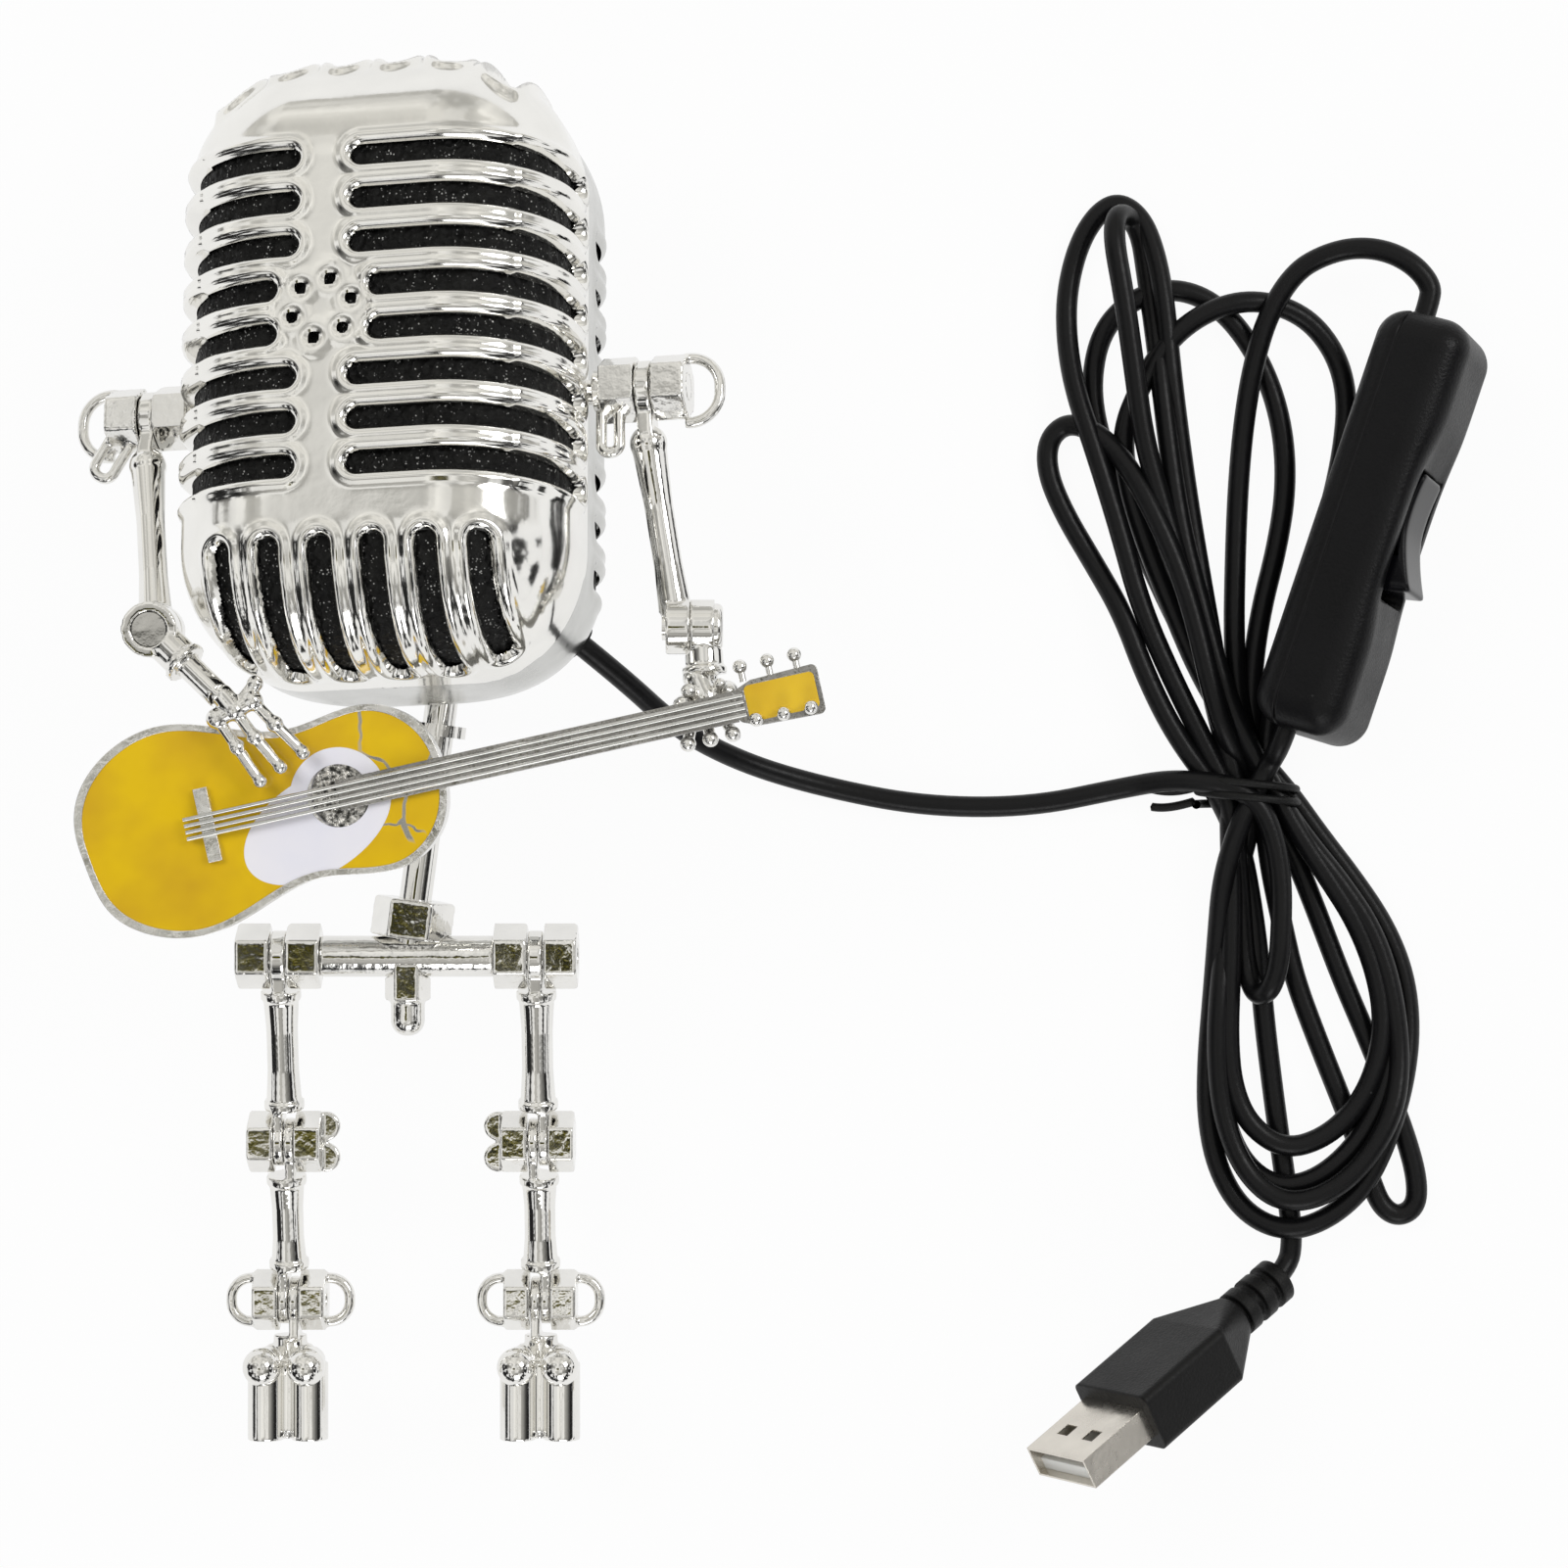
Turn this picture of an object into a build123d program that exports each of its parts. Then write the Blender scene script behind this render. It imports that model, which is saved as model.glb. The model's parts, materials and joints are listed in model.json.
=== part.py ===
from build123d import *
import os
from math import asin, cos, pi, radians, sin, sqrt, tan

# Robot desk lamp with a ribbed microphone head, lying on its back beside its tied cord. Millimetres.
# +Z is up from the table and the way the face looks, +Y runs from the feet to the crown, +X is to the right.

# The sizes below are laid out about the head and the cord; this shift brings the lamp's middle to the origin.
ORIGIN_X, ORIGIN_Y = 0.66, 1.17

# ---- head ----
HEAD_W, HEAD_H, HEAD_D = 54.0, 84.0, 50.0
HEAD_CORNER = 17.0          # rounding of the plan section
HEAD_END = 18.0             # rounding of crown and chin
HEAD_X, HEAD_Y = -7.0, 48.6
HEAD_PITCH, HEAD_YAW, HEAD_ROLL = 12.0, 10.0, 2.5
WALL = 1.6
SPLIT_Z = 1.0               # parting plane between front and rear shell
LINER = 1.2
LINER_GAP = 0.3
ROWS, ROW_PITCH, ROW_TOP = 8, 5.9, 26.5
SLOT_H = 3.3
BAR_HALF = 3.2              # half the upright bar between the slot columns
BADGE_X, BADGE_ROW = -3.5, 3
BADGE_RING, BADGE_HOLE, BADGE_HOLES = 4.0, 1.15, 6
CHIN_SLOTS, CHIN_PITCH, CHIN_SLOT_W = 6, 6.9, 3.2
CHIN_TOP = -24.5
CROWN_SLOTS, CROWN_PITCH, CROWN_SLOT_W, CROWN_SLOT_L = 6, 7.0, 3.4, 26.0
REAR_ROWS = (20.0, 13.4, 6.8, -12.6, -19.2, -25.8)
BOSS_R, BOSS_Y = 2.8, 31.0
SCREW_R, SCREW_HEAD_R, SCREW_HEAD_T = 1.0, 1.9, 1.2

# ---- light inside the head ----
BOARD_R, BOARD_T, BOARD_Z = 15.0, 1.6, -9.0
POST_R, POST_X = 2.4, 11.0
LED_COUNT, LED_RING, LED_SIZE, LED_T = 6, 5.0, 2.8, 0.8
DIFFUSER_R, DIFFUSER_H, DIFFUSER_WALL = 8.8, 9.0, 1.0

# ---- bolted pivots ----
RUN = 0.05                  # radial running clearance
PLAY = 0.1                  # axial clearance beside a moving eye
EYE_T, EYE_R = 2.0, 3.7
PIN_R = 1.7
NUT_AF = 7.8                # hexagon across flats
NUT_T = 4.6
LOOP_R, LOOP_WIRE = 4.4, 0.75

# ---- shoulders and arms ----
SHOULDER_Y = -2.4           # in the head's frame
SHOULDER_GAP = 1.2          # from the shell to the first nut
BOLT_HEAD_IN, BOLT_HEAD_T = 1.3, 1.4
ARM_R = 2.35
ELBOW_R, ELBOW_T = 3.6, 3.2
RIGHT_ELBOW = (HEAD_X + HEAD_W / 2 + 12.0, 16.6, 39.5)
LEFT_ELBOW = (HEAD_X - HEAD_W / 2 - 3.8, 16.0, 41.0)
LEFT_ELBOW_LIFT = 4.6       # the left forearm's drum stands this far in front of the upper arm's
SLEEVE_R, WRIST_R = 2.5, 1.7
LEFT_WRIST = (-28.2, 7.0)
KNUCKLE_X, KNUCKLE_Y = -28.9, 4.4   # first of the left hand's three knuckles
KNUCKLE_DX, KNUCKLE_DY = 2.3, 1.15
FINGER_TIPS = ((-23.3, -3.7), (-20.7, -1.8), (-17.8, 0.1))
FINGER_R = 0.85
GRIP_U, PALM_T = 83.5, 3.4

# ---- guitar ----
GUITAR_X, GUITAR_Y, GUITAR_Z = -47.0, -13.0, 40.0
GUITAR_TURN = 12.6
GUITAR_T = 5.0
BODY_L = 48.3
LOWER_BOUT, WAIST, UPPER_BOUT = 13.9, 9.9, 10.7
LOWER_U, WAIST_U, UPPER_U = 13.0, 29.5, 41.0
RIM_W, POCKET = 0.9, 0.5
ENAMEL_T = 0.4
HOLE_U, HOLE_R = 34.3, 4.1
BRIDGE_U, BRIDGE_L, BRIDGE_W = 17.0, 9.7, 1.8
NECK_W, NECK_T, HEEL_GAP = 4.0, 3.2, 0.3
HEADSTOCK_U, HEADSTOCK_L, HEADSTOCK_W = 87.2, 11.3, 6.6
STRINGS, STRING_PITCH, STRING_R = 4, 0.85, 0.28
STRING_START, STRING_END = 14.1, 88.3
STRING_LIFT = 0.8           # bridge and fingerboard stand this far above the rim
TUNER_PITCH, TUNER_R, TUNER_L, TUNER_IN = 3.6, 0.95, 1.7, 1.1

# ---- torso ----
BODY_X, BODY_Z = -6.8, 22.0
NECK_X, NECK_Y = -2.6, 4.2
HIP_Y = -27.4
SPINE_R, SPINE_IN = 2.2, 6.0
SOCKET_R, SOCKET_L = 4.4, 12.0
WASHER_R, WASHER_T = 3.8, 1.6
HIP_NUT_AF, HIP_NUT_T = 9.6, 5.4
HIP_BAR_R = 2.8
TAIL_AF, TAIL_HEX_L, TAIL_END_L, TAIL_END_R = 5.4, 4.0, 4.8, 2.3

# ---- legs ----
LEG_X = 17.4                # from the torso's middle to each leg's middle
THIGH_L, SHIN_L, FOOT_L = 26.4, 23.0, 18.9
LEG_R = 2.5
HIP_EYE_R, HIP_TONGUE = 3.5, 5.2
JOINT_NUT_T, JOINT_NUT_AF, JOINT_PIN_R = 3.6, 7.4, 1.3
JOINT_EYE_T, JOINT_EYE_R, JOINT_TONGUE = 1.3, 3.3, 5.2
FIN_R, FIN_T = 2.0, 1.1
WING_REACH, WING_W = 3.6, 6.0
TOE_R, TOE_X, TOE_BALL_R, TOE_ROD_R = 2.55, 3.0, 2.65, 1.9
KNUCKLE_Z, KNUCKLE_UP = 7.0, 10.6
TOE_Z = 2.5
HEEL_BACK, HEEL_W, HEEL_H = 11.0, 6.4, 3.4
FOOT_BOLT_R = 0.9

# ---- cord ----
CORD_D = 3.0
CORD_AIM_X, CORD_AIM_Y, CORD_AIM_Z = 17.9, 14.0, 20.0   # a point on the line along which the cord leaves
CORD_HEADING, CORD_DROP = -38.0, 20.0
GROMMET_OUT = 0.8
GROMMET_R, GROMMET_L = 2.6, 3.6
HANK_Z, HANK_T = 0.4, 8.8
TIE_X, TIE_Y, TIE_W, TIE_L, TIE_T = 109.4, -5.0, 14.5, 6.2, 0.4
TIE_TAIL_R, TIE_TAIL_L = 0.7, 7.0

# ---- inline switch ----
SWITCH_L, SWITCH_W, SWITCH_T = 60.0, 18.0, 13.5
SWITCH_X, SWITCH_Y, SWITCH_TURN, SWITCH_ROLL = 120.2, 33.2, -18.5, 65.0
SWITCH_WALL, SWITCH_SEAM = 1.6, 4.0
SWITCH_CORNER, SWITCH_EDGE = 4.0, 2.0
ROCKER_L, ROCKER_W, ROCKER_PIVOT = 16.6, 9.0, 4.0
ROCKER_TILT, ROCKER_RIM, ROCKER_DIP = 10.0, 5.0, 3.6
ROCKER_GAP = 0.3

# ---- plug ----
PLUG_X, PLUG_Y, PLUG_Z = 113.6, -73.9, 3.2
PLUG_HEADING, PLUG_RISE = 215.0, 30.0
RELIEF_L, RELIEF_R, RELIEF_RINGS, RING_T = 10.0, 3.3, 3, 1.9
OVERMOLD_L, OVERMOLD_TAPER, OVERMOLD_W, OVERMOLD_T = 23.0, 7.0, 15.0, 8.6
SHELL_L, SHELL_W, SHELL_T, SHELL_WALL = 12.0, 12.0, 4.5, 0.3
WINDOW, WINDOW_X, WINDOW_IN = 2.2, 2.6, 5.0
TONGUE_T, TONGUE_L = 1.8, 10.8


def cyl(origin, direction, radius, length):
    """Cylinder that starts at a point and runs along a direction."""
    plane = Plane(origin=origin, z_dir=direction)
    return plane * Cylinder(radius, length, align=(Align.CENTER, Align.CENTER, Align.MIN))


def rod(start, end, radius):
    """Round rod between two points."""
    run = Vector(*end) - Vector(*start)
    return cyl(tuple(start), tuple(run), radius, run.length)


def waisted(start, end, end_radius, mid_radius):
    """Bone-like rod, thinner at its middle."""
    run = Vector(*end) - Vector(*start)
    plane = Plane(origin=tuple(start), z_dir=tuple(run))
    third = run.length / 3
    low = Cone(end_radius, mid_radius, third, align=(Align.CENTER, Align.CENTER, Align.MIN))
    mid = Pos(0, 0, third) * Cylinder(mid_radius, third, align=(Align.CENTER, Align.CENTER, Align.MIN))
    top = Pos(0, 0, 2 * third) * Cone(mid_radius, end_radius, third, align=(Align.CENTER, Align.CENTER, Align.MIN))
    return plane * (low + mid + top)


def hexNut(origin, direction, flats, thickness, bore, up=(0, 0, 1)):
    """Hexagon nut with one flat facing the way given by up."""
    normal = Vector(*direction)
    side = normal.cross(Vector(*up)).normalized()
    plane = Plane(origin=origin, x_dir=tuple(side), z_dir=direction)
    body = extrude(RegularPolygon(flats / sqrt(3), 6), thickness)
    corner = flats / sqrt(3)
    cone = Pos(0, 0, thickness) * Cone(corner + thickness, corner * 0.93, thickness * 0.99,
                                      align=(Align.CENTER, Align.CENTER, Align.MAX))
    body = body & cone
    if bore:
        body -= Cylinder(bore, thickness * 3)
    return plane * body


def loop(origin, along, across, reach, width, wire):
    """Open D-shaped wire loop: it leaves a face at origin along one way and spreads across another."""
    a, b = Vector(*along).normalized(), Vector(*across).normalized()
    o = Vector(*origin)
    half = width / 2
    bend = min(half, reach) * 0.9
    points = [o - b * half, o - b * half + a * reach, o + b * half + a * reach, o + b * half]
    path = FilletPolyline(*[tuple(p) for p in points], radius=bend)
    start = Plane(origin=tuple(points[0]), z_dir=tuple(a))
    return sweep(start * Circle(wire), path)


def save(name, *shapes):
    """Write one node, with repeated pieces as separate solids."""
    whole = shapes[0] if len(shapes) == 1 else Compound(children=[Part(s.wrapped) for s in shapes])
    whole = Pos(ORIGIN_X, ORIGIN_Y, 0) * whole
    whole.label = name
    export_step(whole, f"parts/{name}.step")


os.makedirs("parts", exist_ok=True)


def headForm(inset):
    """Outer form of the head, or the same form with every side moved in."""
    sections = []
    half, end = HEAD_H / 2 - inset, HEAD_END - inset
    for step in range(-6, 7):
        if step == 0:
            y, shrink = 0, 0
        else:
            turn = (abs(step) - 1) / 5 * pi / 2
            y = (half - end + end * sin(turn)) * (1 if step > 0 else -1)
            shrink = end * (1 - cos(turn)) * 0.86
        width, depth = HEAD_W - 2 * (inset + shrink), HEAD_D - 2 * (inset + shrink)
        corner = min(max(HEAD_CORNER - inset - shrink * 0.55, 2.0), depth / 2 - 0.4, width / 2 - 0.4)
        plane = Plane(origin=(0, y, 0), x_dir=(1, 0, 0), z_dir=(0, 1, 0))
        sections.append(plane * RectangleRounded(width, depth, corner))
    return loft(sections)


def rowSlot(side, inner, y, z_end, front=1):
    """Slot tool that starts beside the middle bar and wraps round the head's corner to z_end."""
    reach = HEAD_W
    flat = Pos(side * (inner + reach / 2), y) * SlotOverall(reach, SLOT_H)
    face = extrude(flat, amount=front * HEAD_D)
    wrap = Plane(origin=(0, y, front * (abs(z_end) + reach / 2)), x_dir=(0, 0, 1), z_dir=(1, 0, 0))
    return face & extrude(wrap * SlotOverall(reach, SLOT_H), amount=side * reach)


def frontSlots():
    tools = []
    for row in range(ROWS):
        y = ROW_TOP - row * ROW_PITCH
        beside = row in (BADGE_ROW, BADGE_ROW + 1)
        inner = BAR_HALF + (2.6 if beside else 0)
        tools.append(rowSlot(1, BADGE_X + inner, y, SPLIT_Z + 3.0))
        tools.append(rowSlot(-1, -BADGE_X + inner, y, SPLIT_Z + 3.0))
    y = ROW_TOP - (BADGE_ROW + 0.5) * ROW_PITCH
    for hole in range(BADGE_HOLES):
        turn = 2 * pi * (hole + 0.25) / BADGE_HOLES
        at = Pos(BADGE_X + BADGE_RING * cos(turn), y + BADGE_RING * sin(turn), 0)
        tools.append(at * Cylinder(BADGE_HOLE, HEAD_D, align=(Align.CENTER, Align.CENTER, Align.MIN)))
    for slot in range(CHIN_SLOTS):
        x = (slot - (CHIN_SLOTS - 1) / 2) * CHIN_PITCH
        flat = Pos(x, CHIN_TOP - HEAD_H / 4) * SlotOverall(HEAD_H / 2, CHIN_SLOT_W, rotation=90)
        face = extrude(flat, amount=HEAD_D)
        under = Plane(origin=(x, 0, SPLIT_Z + 6 + HEAD_D / 2), x_dir=(0, 0, 1), z_dir=(0, 1, 0))
        tools.append(face & extrude(under * SlotOverall(HEAD_D, CHIN_SLOT_W), amount=-HEAD_H))
    return tools


def crownSlots():
    tools = []
    for slot in range(CROWN_SLOTS):
        x = (slot - (CROWN_SLOTS - 1) / 2) * CROWN_PITCH
        plane = Plane(origin=(x, HEAD_H / 2 - 12, 0), x_dir=(0, 0, 1), z_dir=(0, 1, 0))
        tools.append(extrude(plane * SlotOverall(CROWN_SLOT_L, CROWN_SLOT_W), amount=30))
    return tools


def rearSlots():
    tools = []
    for y in REAR_ROWS:
        for side in (1, -1):
            tools.append(rowSlot(side, 4.0, y, 4.0, front=-1))
    return tools


def insideForm(shape, z_low, z_high):
    """The stretch of a shape between two planes across the head's depth."""
    depth = z_high - z_low
    return shape & (Pos(0, 0, z_low + depth / 2) * Box(3 * HEAD_W, 3 * HEAD_H, depth))


headOuter = headForm(0)
headTurn = Rot(0, 0, HEAD_ROLL) * Rot(0, -HEAD_YAW, 0) * Rot(-HEAD_PITCH, 0, 0)
HEAD_Z = -headOuter.moved(headTurn).bounding_box().min.Z
headPlace = Pos(HEAD_X, HEAD_Y, HEAD_Z) * headTurn
neckAt = Vector(NECK_X, NECK_Y, BODY_Z)
hipAt = Vector(BODY_X, HIP_Y, BODY_Z)
spineWay = (neckAt - hipAt).normalized()
heading, drop = radians(CORD_HEADING), radians(CORD_DROP)
exitWay = Vector(cos(heading) * cos(drop), sin(heading) * cos(drop), -sin(drop))
aim = Vector(CORD_AIM_X, CORD_AIM_Y, CORD_AIM_Z)
through = Edge.make_line(tuple(aim - exitWay * HEAD_W / 2), tuple(aim + exitWay * HEAD_W / 2))
inside = through & (headPlace * headOuter)
exitAt = max((v for e in inside.edges() for v in (e @ 0, e @ 1)), key=lambda v: v.dot(exitWay)) + exitWay * GROMMET_OUT
headInverse = headPlace.inverse()
shoulderX = HEAD_W / 2 + SHOULDER_GAP


def inHead(shape):
    """A shape of the table frame, seen from the head's frame."""
    return shape.moved(headInverse)


def makeHead():
    cavity = headForm(WALL)
    shell = headOuter - cavity
    front = insideForm(shell, SPLIT_Z, HEAD_D) - frontSlots() - crownSlots()
    rear = insideForm(shell, -HEAD_D, SPLIT_Z) - rearSlots() - crownSlots()
    liner = headForm(WALL + LINER_GAP) - headForm(WALL + LINER_GAP + LINER)
    linerFront = insideForm(liner, SPLIT_Z + 0.1, HEAD_D)
    linerRear = insideForm(liner, -HEAD_D, SPLIT_Z - 0.1)
    # two screw towers across the parting plane
    screws = []
    for y in (BOSS_Y, -BOSS_Y):
        column = Pos(0, y, 0) * Cylinder(BOSS_R, HEAD_D)
        inside = headForm(WALL / 2) & column
        front += insideForm(inside, SPLIT_Z, HEAD_D)
        rear += insideForm(inside, -HEAD_D, SPLIT_Z)
        linerFront -= Pos(0, y, 0) * Cylinder(BOSS_R + LINER_GAP, HEAD_D)
        linerRear -= Pos(0, y, 0) * Cylinder(BOSS_R + LINER_GAP, HEAD_D)
        low = SPLIT_Z - 12
        well = Pos(0, y, low) * Cylinder(SCREW_HEAD_R + 0.2, HEAD_D, align=(Align.CENTER, Align.CENTER, Align.MAX))
        shaft = cyl((0, y, low), (0, 0, 1), SCREW_R, 18)
        rear = rear - well - shaft
        front -= shaft
        head = cyl((0, y, low), (0, 0, -1), SCREW_HEAD_R, SCREW_HEAD_T)
        screws.append(head + cyl((0, y, low), (0, 0, 1), SCREW_R, 17.5))
    # posts for the light board
    boardFloor = BOARD_Z - BOARD_T
    for x in (POST_X, -POST_X):
        post = Pos(x, 0, boardFloor) * Cylinder(POST_R, HEAD_D, align=(Align.CENTER, Align.CENTER, Align.MAX))
        rear += headForm(WALL / 2) & post
        linerRear -= Pos(x, 0, boardFloor) * Cylinder(POST_R + LINER_GAP, HEAD_D, align=(Align.CENTER,
                                                      Align.CENTER, Align.MAX))
        hole = cyl((x, 0, boardFloor), (0, 0, -1), SCREW_R, 7)
        rear -= hole
        head = cyl((x, 0, BOARD_Z), (0, 0, 1), SCREW_HEAD_R, SCREW_HEAD_T)
        screws.append(head + cyl((x, 0, BOARD_Z), (0, 0, -1), SCREW_R, BOARD_T + 6.5))
    # shoulder holes on the parting plane
    axle = Pos(0, SHOULDER_Y, SPLIT_Z) * Rot(0, 90, 0) * Cylinder(PIN_R, 2 * HEAD_W)
    front, rear = front - axle, rear - axle
    clear = Pos(0, SHOULDER_Y, SPLIT_Z) * Rot(0, 90, 0) * Cylinder(PIN_R + 2.2, 2 * HEAD_W)
    linerFront, linerRear = linerFront - clear, linerRear - clear
    # neck socket and cord hole in the rear shell
    socket = inHead(cyl(tuple(neckAt), tuple(spineWay), SOCKET_R, SOCKET_L))
    bore = inHead(cyl(tuple(neckAt - spineWay), tuple(spineWay), SPINE_R + RUN, SPINE_IN + 1.4))
    mouth = inHead(cyl(tuple(neckAt - spineWay * 9), tuple(spineWay), SOCKET_R + 2, 9))
    room = inHead(cyl(tuple(neckAt - spineWay), tuple(spineWay), SOCKET_R + LINER_GAP, SOCKET_L + 2))
    rear = rear + (socket & headForm(0)) - mouth - bore
    front, linerRear, linerFront = front - mouth - room, linerRear - room, linerFront - room
    gland = inHead(cyl(tuple(exitAt - exitWay * 6), tuple(exitWay), GROMMET_R, 8))
    glandRoom = inHead(cyl(tuple(exitAt - exitWay * 7), tuple(exitWay), GROMMET_R + LINER_GAP, 12))
    rear = rear - gland
    linerRear = linerRear - glandRoom
    return front, rear, linerFront, linerRear, screws


def makeGrommet():
    start = exitAt - exitWay * GROMMET_L
    body = cyl(tuple(start), tuple(exitWay), GROMMET_R, GROMMET_L)
    return body - cyl(tuple(start - exitWay), tuple(exitWay), CORD_D / 2, 6)


def makeLight():
    board = cyl((0, 0, BOARD_Z - BOARD_T), (0, 0, 1), BOARD_R, BOARD_T)
    for x in (POST_X, -POST_X):
        board -= cyl((x, 0, BOARD_Z - 2 * BOARD_T), (0, 0, 1), SCREW_R, 3 * BOARD_T)
    chips = []
    for chip in range(LED_COUNT):
        turn = 2 * pi * chip / LED_COUNT
        chips.append(Pos(LED_RING * cos(turn), LED_RING * sin(turn), BOARD_Z + LED_T / 2)
                     * Box(LED_SIZE, LED_SIZE, LED_T))
    dome = cyl((0, 0, BOARD_Z), (0, 0, 1), DIFFUSER_R, DIFFUSER_H)
    dome = fillet(dome.edges().group_by(Axis.Z)[-1], 3.0)
    dome -= fillet(cyl((0, 0, BOARD_Z - 1), (0, 0, 1), DIFFUSER_R - DIFFUSER_WALL, DIFFUSER_H
                       - DIFFUSER_WALL + 1).edges().group_by(Axis.Z)[-1], 2.4)
    return board, chips, dome


def makeShoulder(side):
    """Bolt, inner nut and outer wing nut on one side, in the head's frame."""
    x = side * shoulderX
    way = (side, 0, 0)
    out = 2 * NUT_T + EYE_T + 2 * PLAY
    inset = WALL + BOLT_HEAD_IN
    bolt = cyl((side * (HEAD_W / 2 - inset - BOLT_HEAD_T), SHOULDER_Y, SPLIT_Z), way, PIN_R,
               BOLT_HEAD_T + inset + SHOULDER_GAP + out)
    bolt += cyl((side * (HEAD_W / 2 - inset), SHOULDER_Y, SPLIT_Z), (-side, 0, 0), PIN_R + 1.6, BOLT_HEAD_T)
    collar = cyl((side * (HEAD_W / 2 + PLAY), SHOULDER_Y, SPLIT_Z), way, PIN_R + 1.1, SHOULDER_GAP + 0.5)
    inner = hexNut((x, SHOULDER_Y, SPLIT_Z), way, NUT_AF, NUT_T, PIN_R) + (collar - bolt)
    edge = SHOULDER_Y - NUT_AF / 2 + 0.8
    gap = x + side * (NUT_T + EYE_T + 2 * PLAY)
    outer = hexNut((gap, SHOULDER_Y, SPLIT_Z), way, NUT_AF, NUT_T, PIN_R)
    end = (gap + side * (NUT_T - 0.4), SHOULDER_Y - 0.6, SPLIT_Z)
    outer += loop(end, way, (0, 1, 0), 4.6, 2 * LOOP_R, LOOP_WIRE)
    if side > 0:
        inner += loop((x + NUT_T / 4, edge, SPLIT_Z + 1), (0, -1, 0), (1, 0, 0), 5.6, NUT_T - 2.2, LOOP_WIRE)
    else:
        outer += loop((gap - NUT_T * 0.65, edge, SPLIT_Z + 1), (-0.6, -1, 0), (1, -0.6, 0), 5.6, NUT_T - 1.6,
                      LOOP_WIRE)
    return bolt, inner, outer


def toTable(x, y, z):
    """A point of the head's frame in the table frame."""
    return (headPlace * Location((x, y, z))).position


shoulderWay = (toTable(1, 0, 0) - toTable(0, 0, 0)).normalized()
eyeMiddle = shoulderX + NUT_T + PLAY + EYE_T / 2
rightShoulder = toTable(eyeMiddle, SHOULDER_Y, SPLIT_Z)
leftShoulder = toTable(-eyeMiddle, SHOULDER_Y, SPLIT_Z)


def disc(centre, way, radius, thickness):
    """Cylinder with its middle at a point."""
    way = Vector(*way).normalized()
    return cyl(tuple(Vector(*centre) - way * (thickness / 2)), tuple(way), radius, thickness)


def ball(centre, radius):
    return Pos(*centre) * Sphere(radius)


def roundPlate(start, end, radius, low, high):
    """Upright plate with round ends between two points of the table's plane."""
    run = (end[0] - start[0], end[1] - start[1], 0)
    middle = ((start[0] + end[0]) / 2, (start[1] + end[1]) / 2, low)
    plane = Plane(origin=middle, x_dir=run, z_dir=(0, 0, 1))
    return plane * extrude(SlotCenterToCenter(sqrt(run[0] ** 2 + run[1] ** 2), 2 * radius), high - low)


def lug(centre, way, towards, length, width, thickness):
    """Flat eye plate: a round end at the pivot and a straight tongue towards the rod."""
    way = Vector(*way).normalized()
    run = (Vector(*towards) - Vector(*centre))
    run = (run - way * run.dot(way)).normalized()
    plane = Plane(origin=tuple(centre), x_dir=tuple(run), z_dir=tuple(way))
    tongue = Box(length, width, thickness, align=(Align.MIN, Align.CENTER, Align.CENTER))
    return plane * (Cylinder(EYE_R, thickness) + tongue), Vector(*centre) + run * (length - 0.6)


def makeUpperArm(shoulder, elbow, elbowWay, elbowMiddle):
    plate, neck = lug(tuple(shoulder), tuple(shoulderWay), elbow, NUT_AF / 2 + 3.9, 4.4, EYE_T)
    arm = plate + waisted(tuple(neck), elbowMiddle, ARM_R, ARM_R - 0.45)
    arm += ball(tuple(neck), ARM_R + 0.15)
    arm += disc(elbowMiddle, elbowWay, ELBOW_R, ELBOW_T)
    arm -= disc(tuple(shoulder), tuple(shoulderWay), PIN_R + RUN, EYE_T * 2)
    return arm - disc(elbowMiddle, elbowWay, PIN_R, ELBOW_T * 2)


def makeSleeve(start, wrist, drumRadius):
    """Stepped forearm rod with a collar where it thins."""
    run = Vector(*wrist) - Vector(*start)
    way = run.normalized()
    step = Vector(*start) + way * (drumRadius + 3.4)
    sleeve = rod(start, tuple(step), SLEEVE_R) + disc(tuple(step), tuple(way), SLEEVE_R + 0.45, 0.9)
    return sleeve + rod(tuple(step), wrist, WRIST_R)


def guitarPoint(u, v, z=0):
    """A point along and across the guitar, in the table frame."""
    c, s = cos(radians(GUITAR_TURN)), sin(radians(GUITAR_TURN))
    return (GUITAR_X + u * c - v * s, GUITAR_Y + u * s + v * c, z)


guitarFront = GUITAR_Z + GUITAR_T
stringBase = guitarFront + STRING_LIFT
neckBack = stringBase - NECK_T
enamelTop = guitarFront - POCKET + ENAMEL_T
handZ = stringBase + 2 * STRING_R + FINGER_R + 0.4


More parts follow.
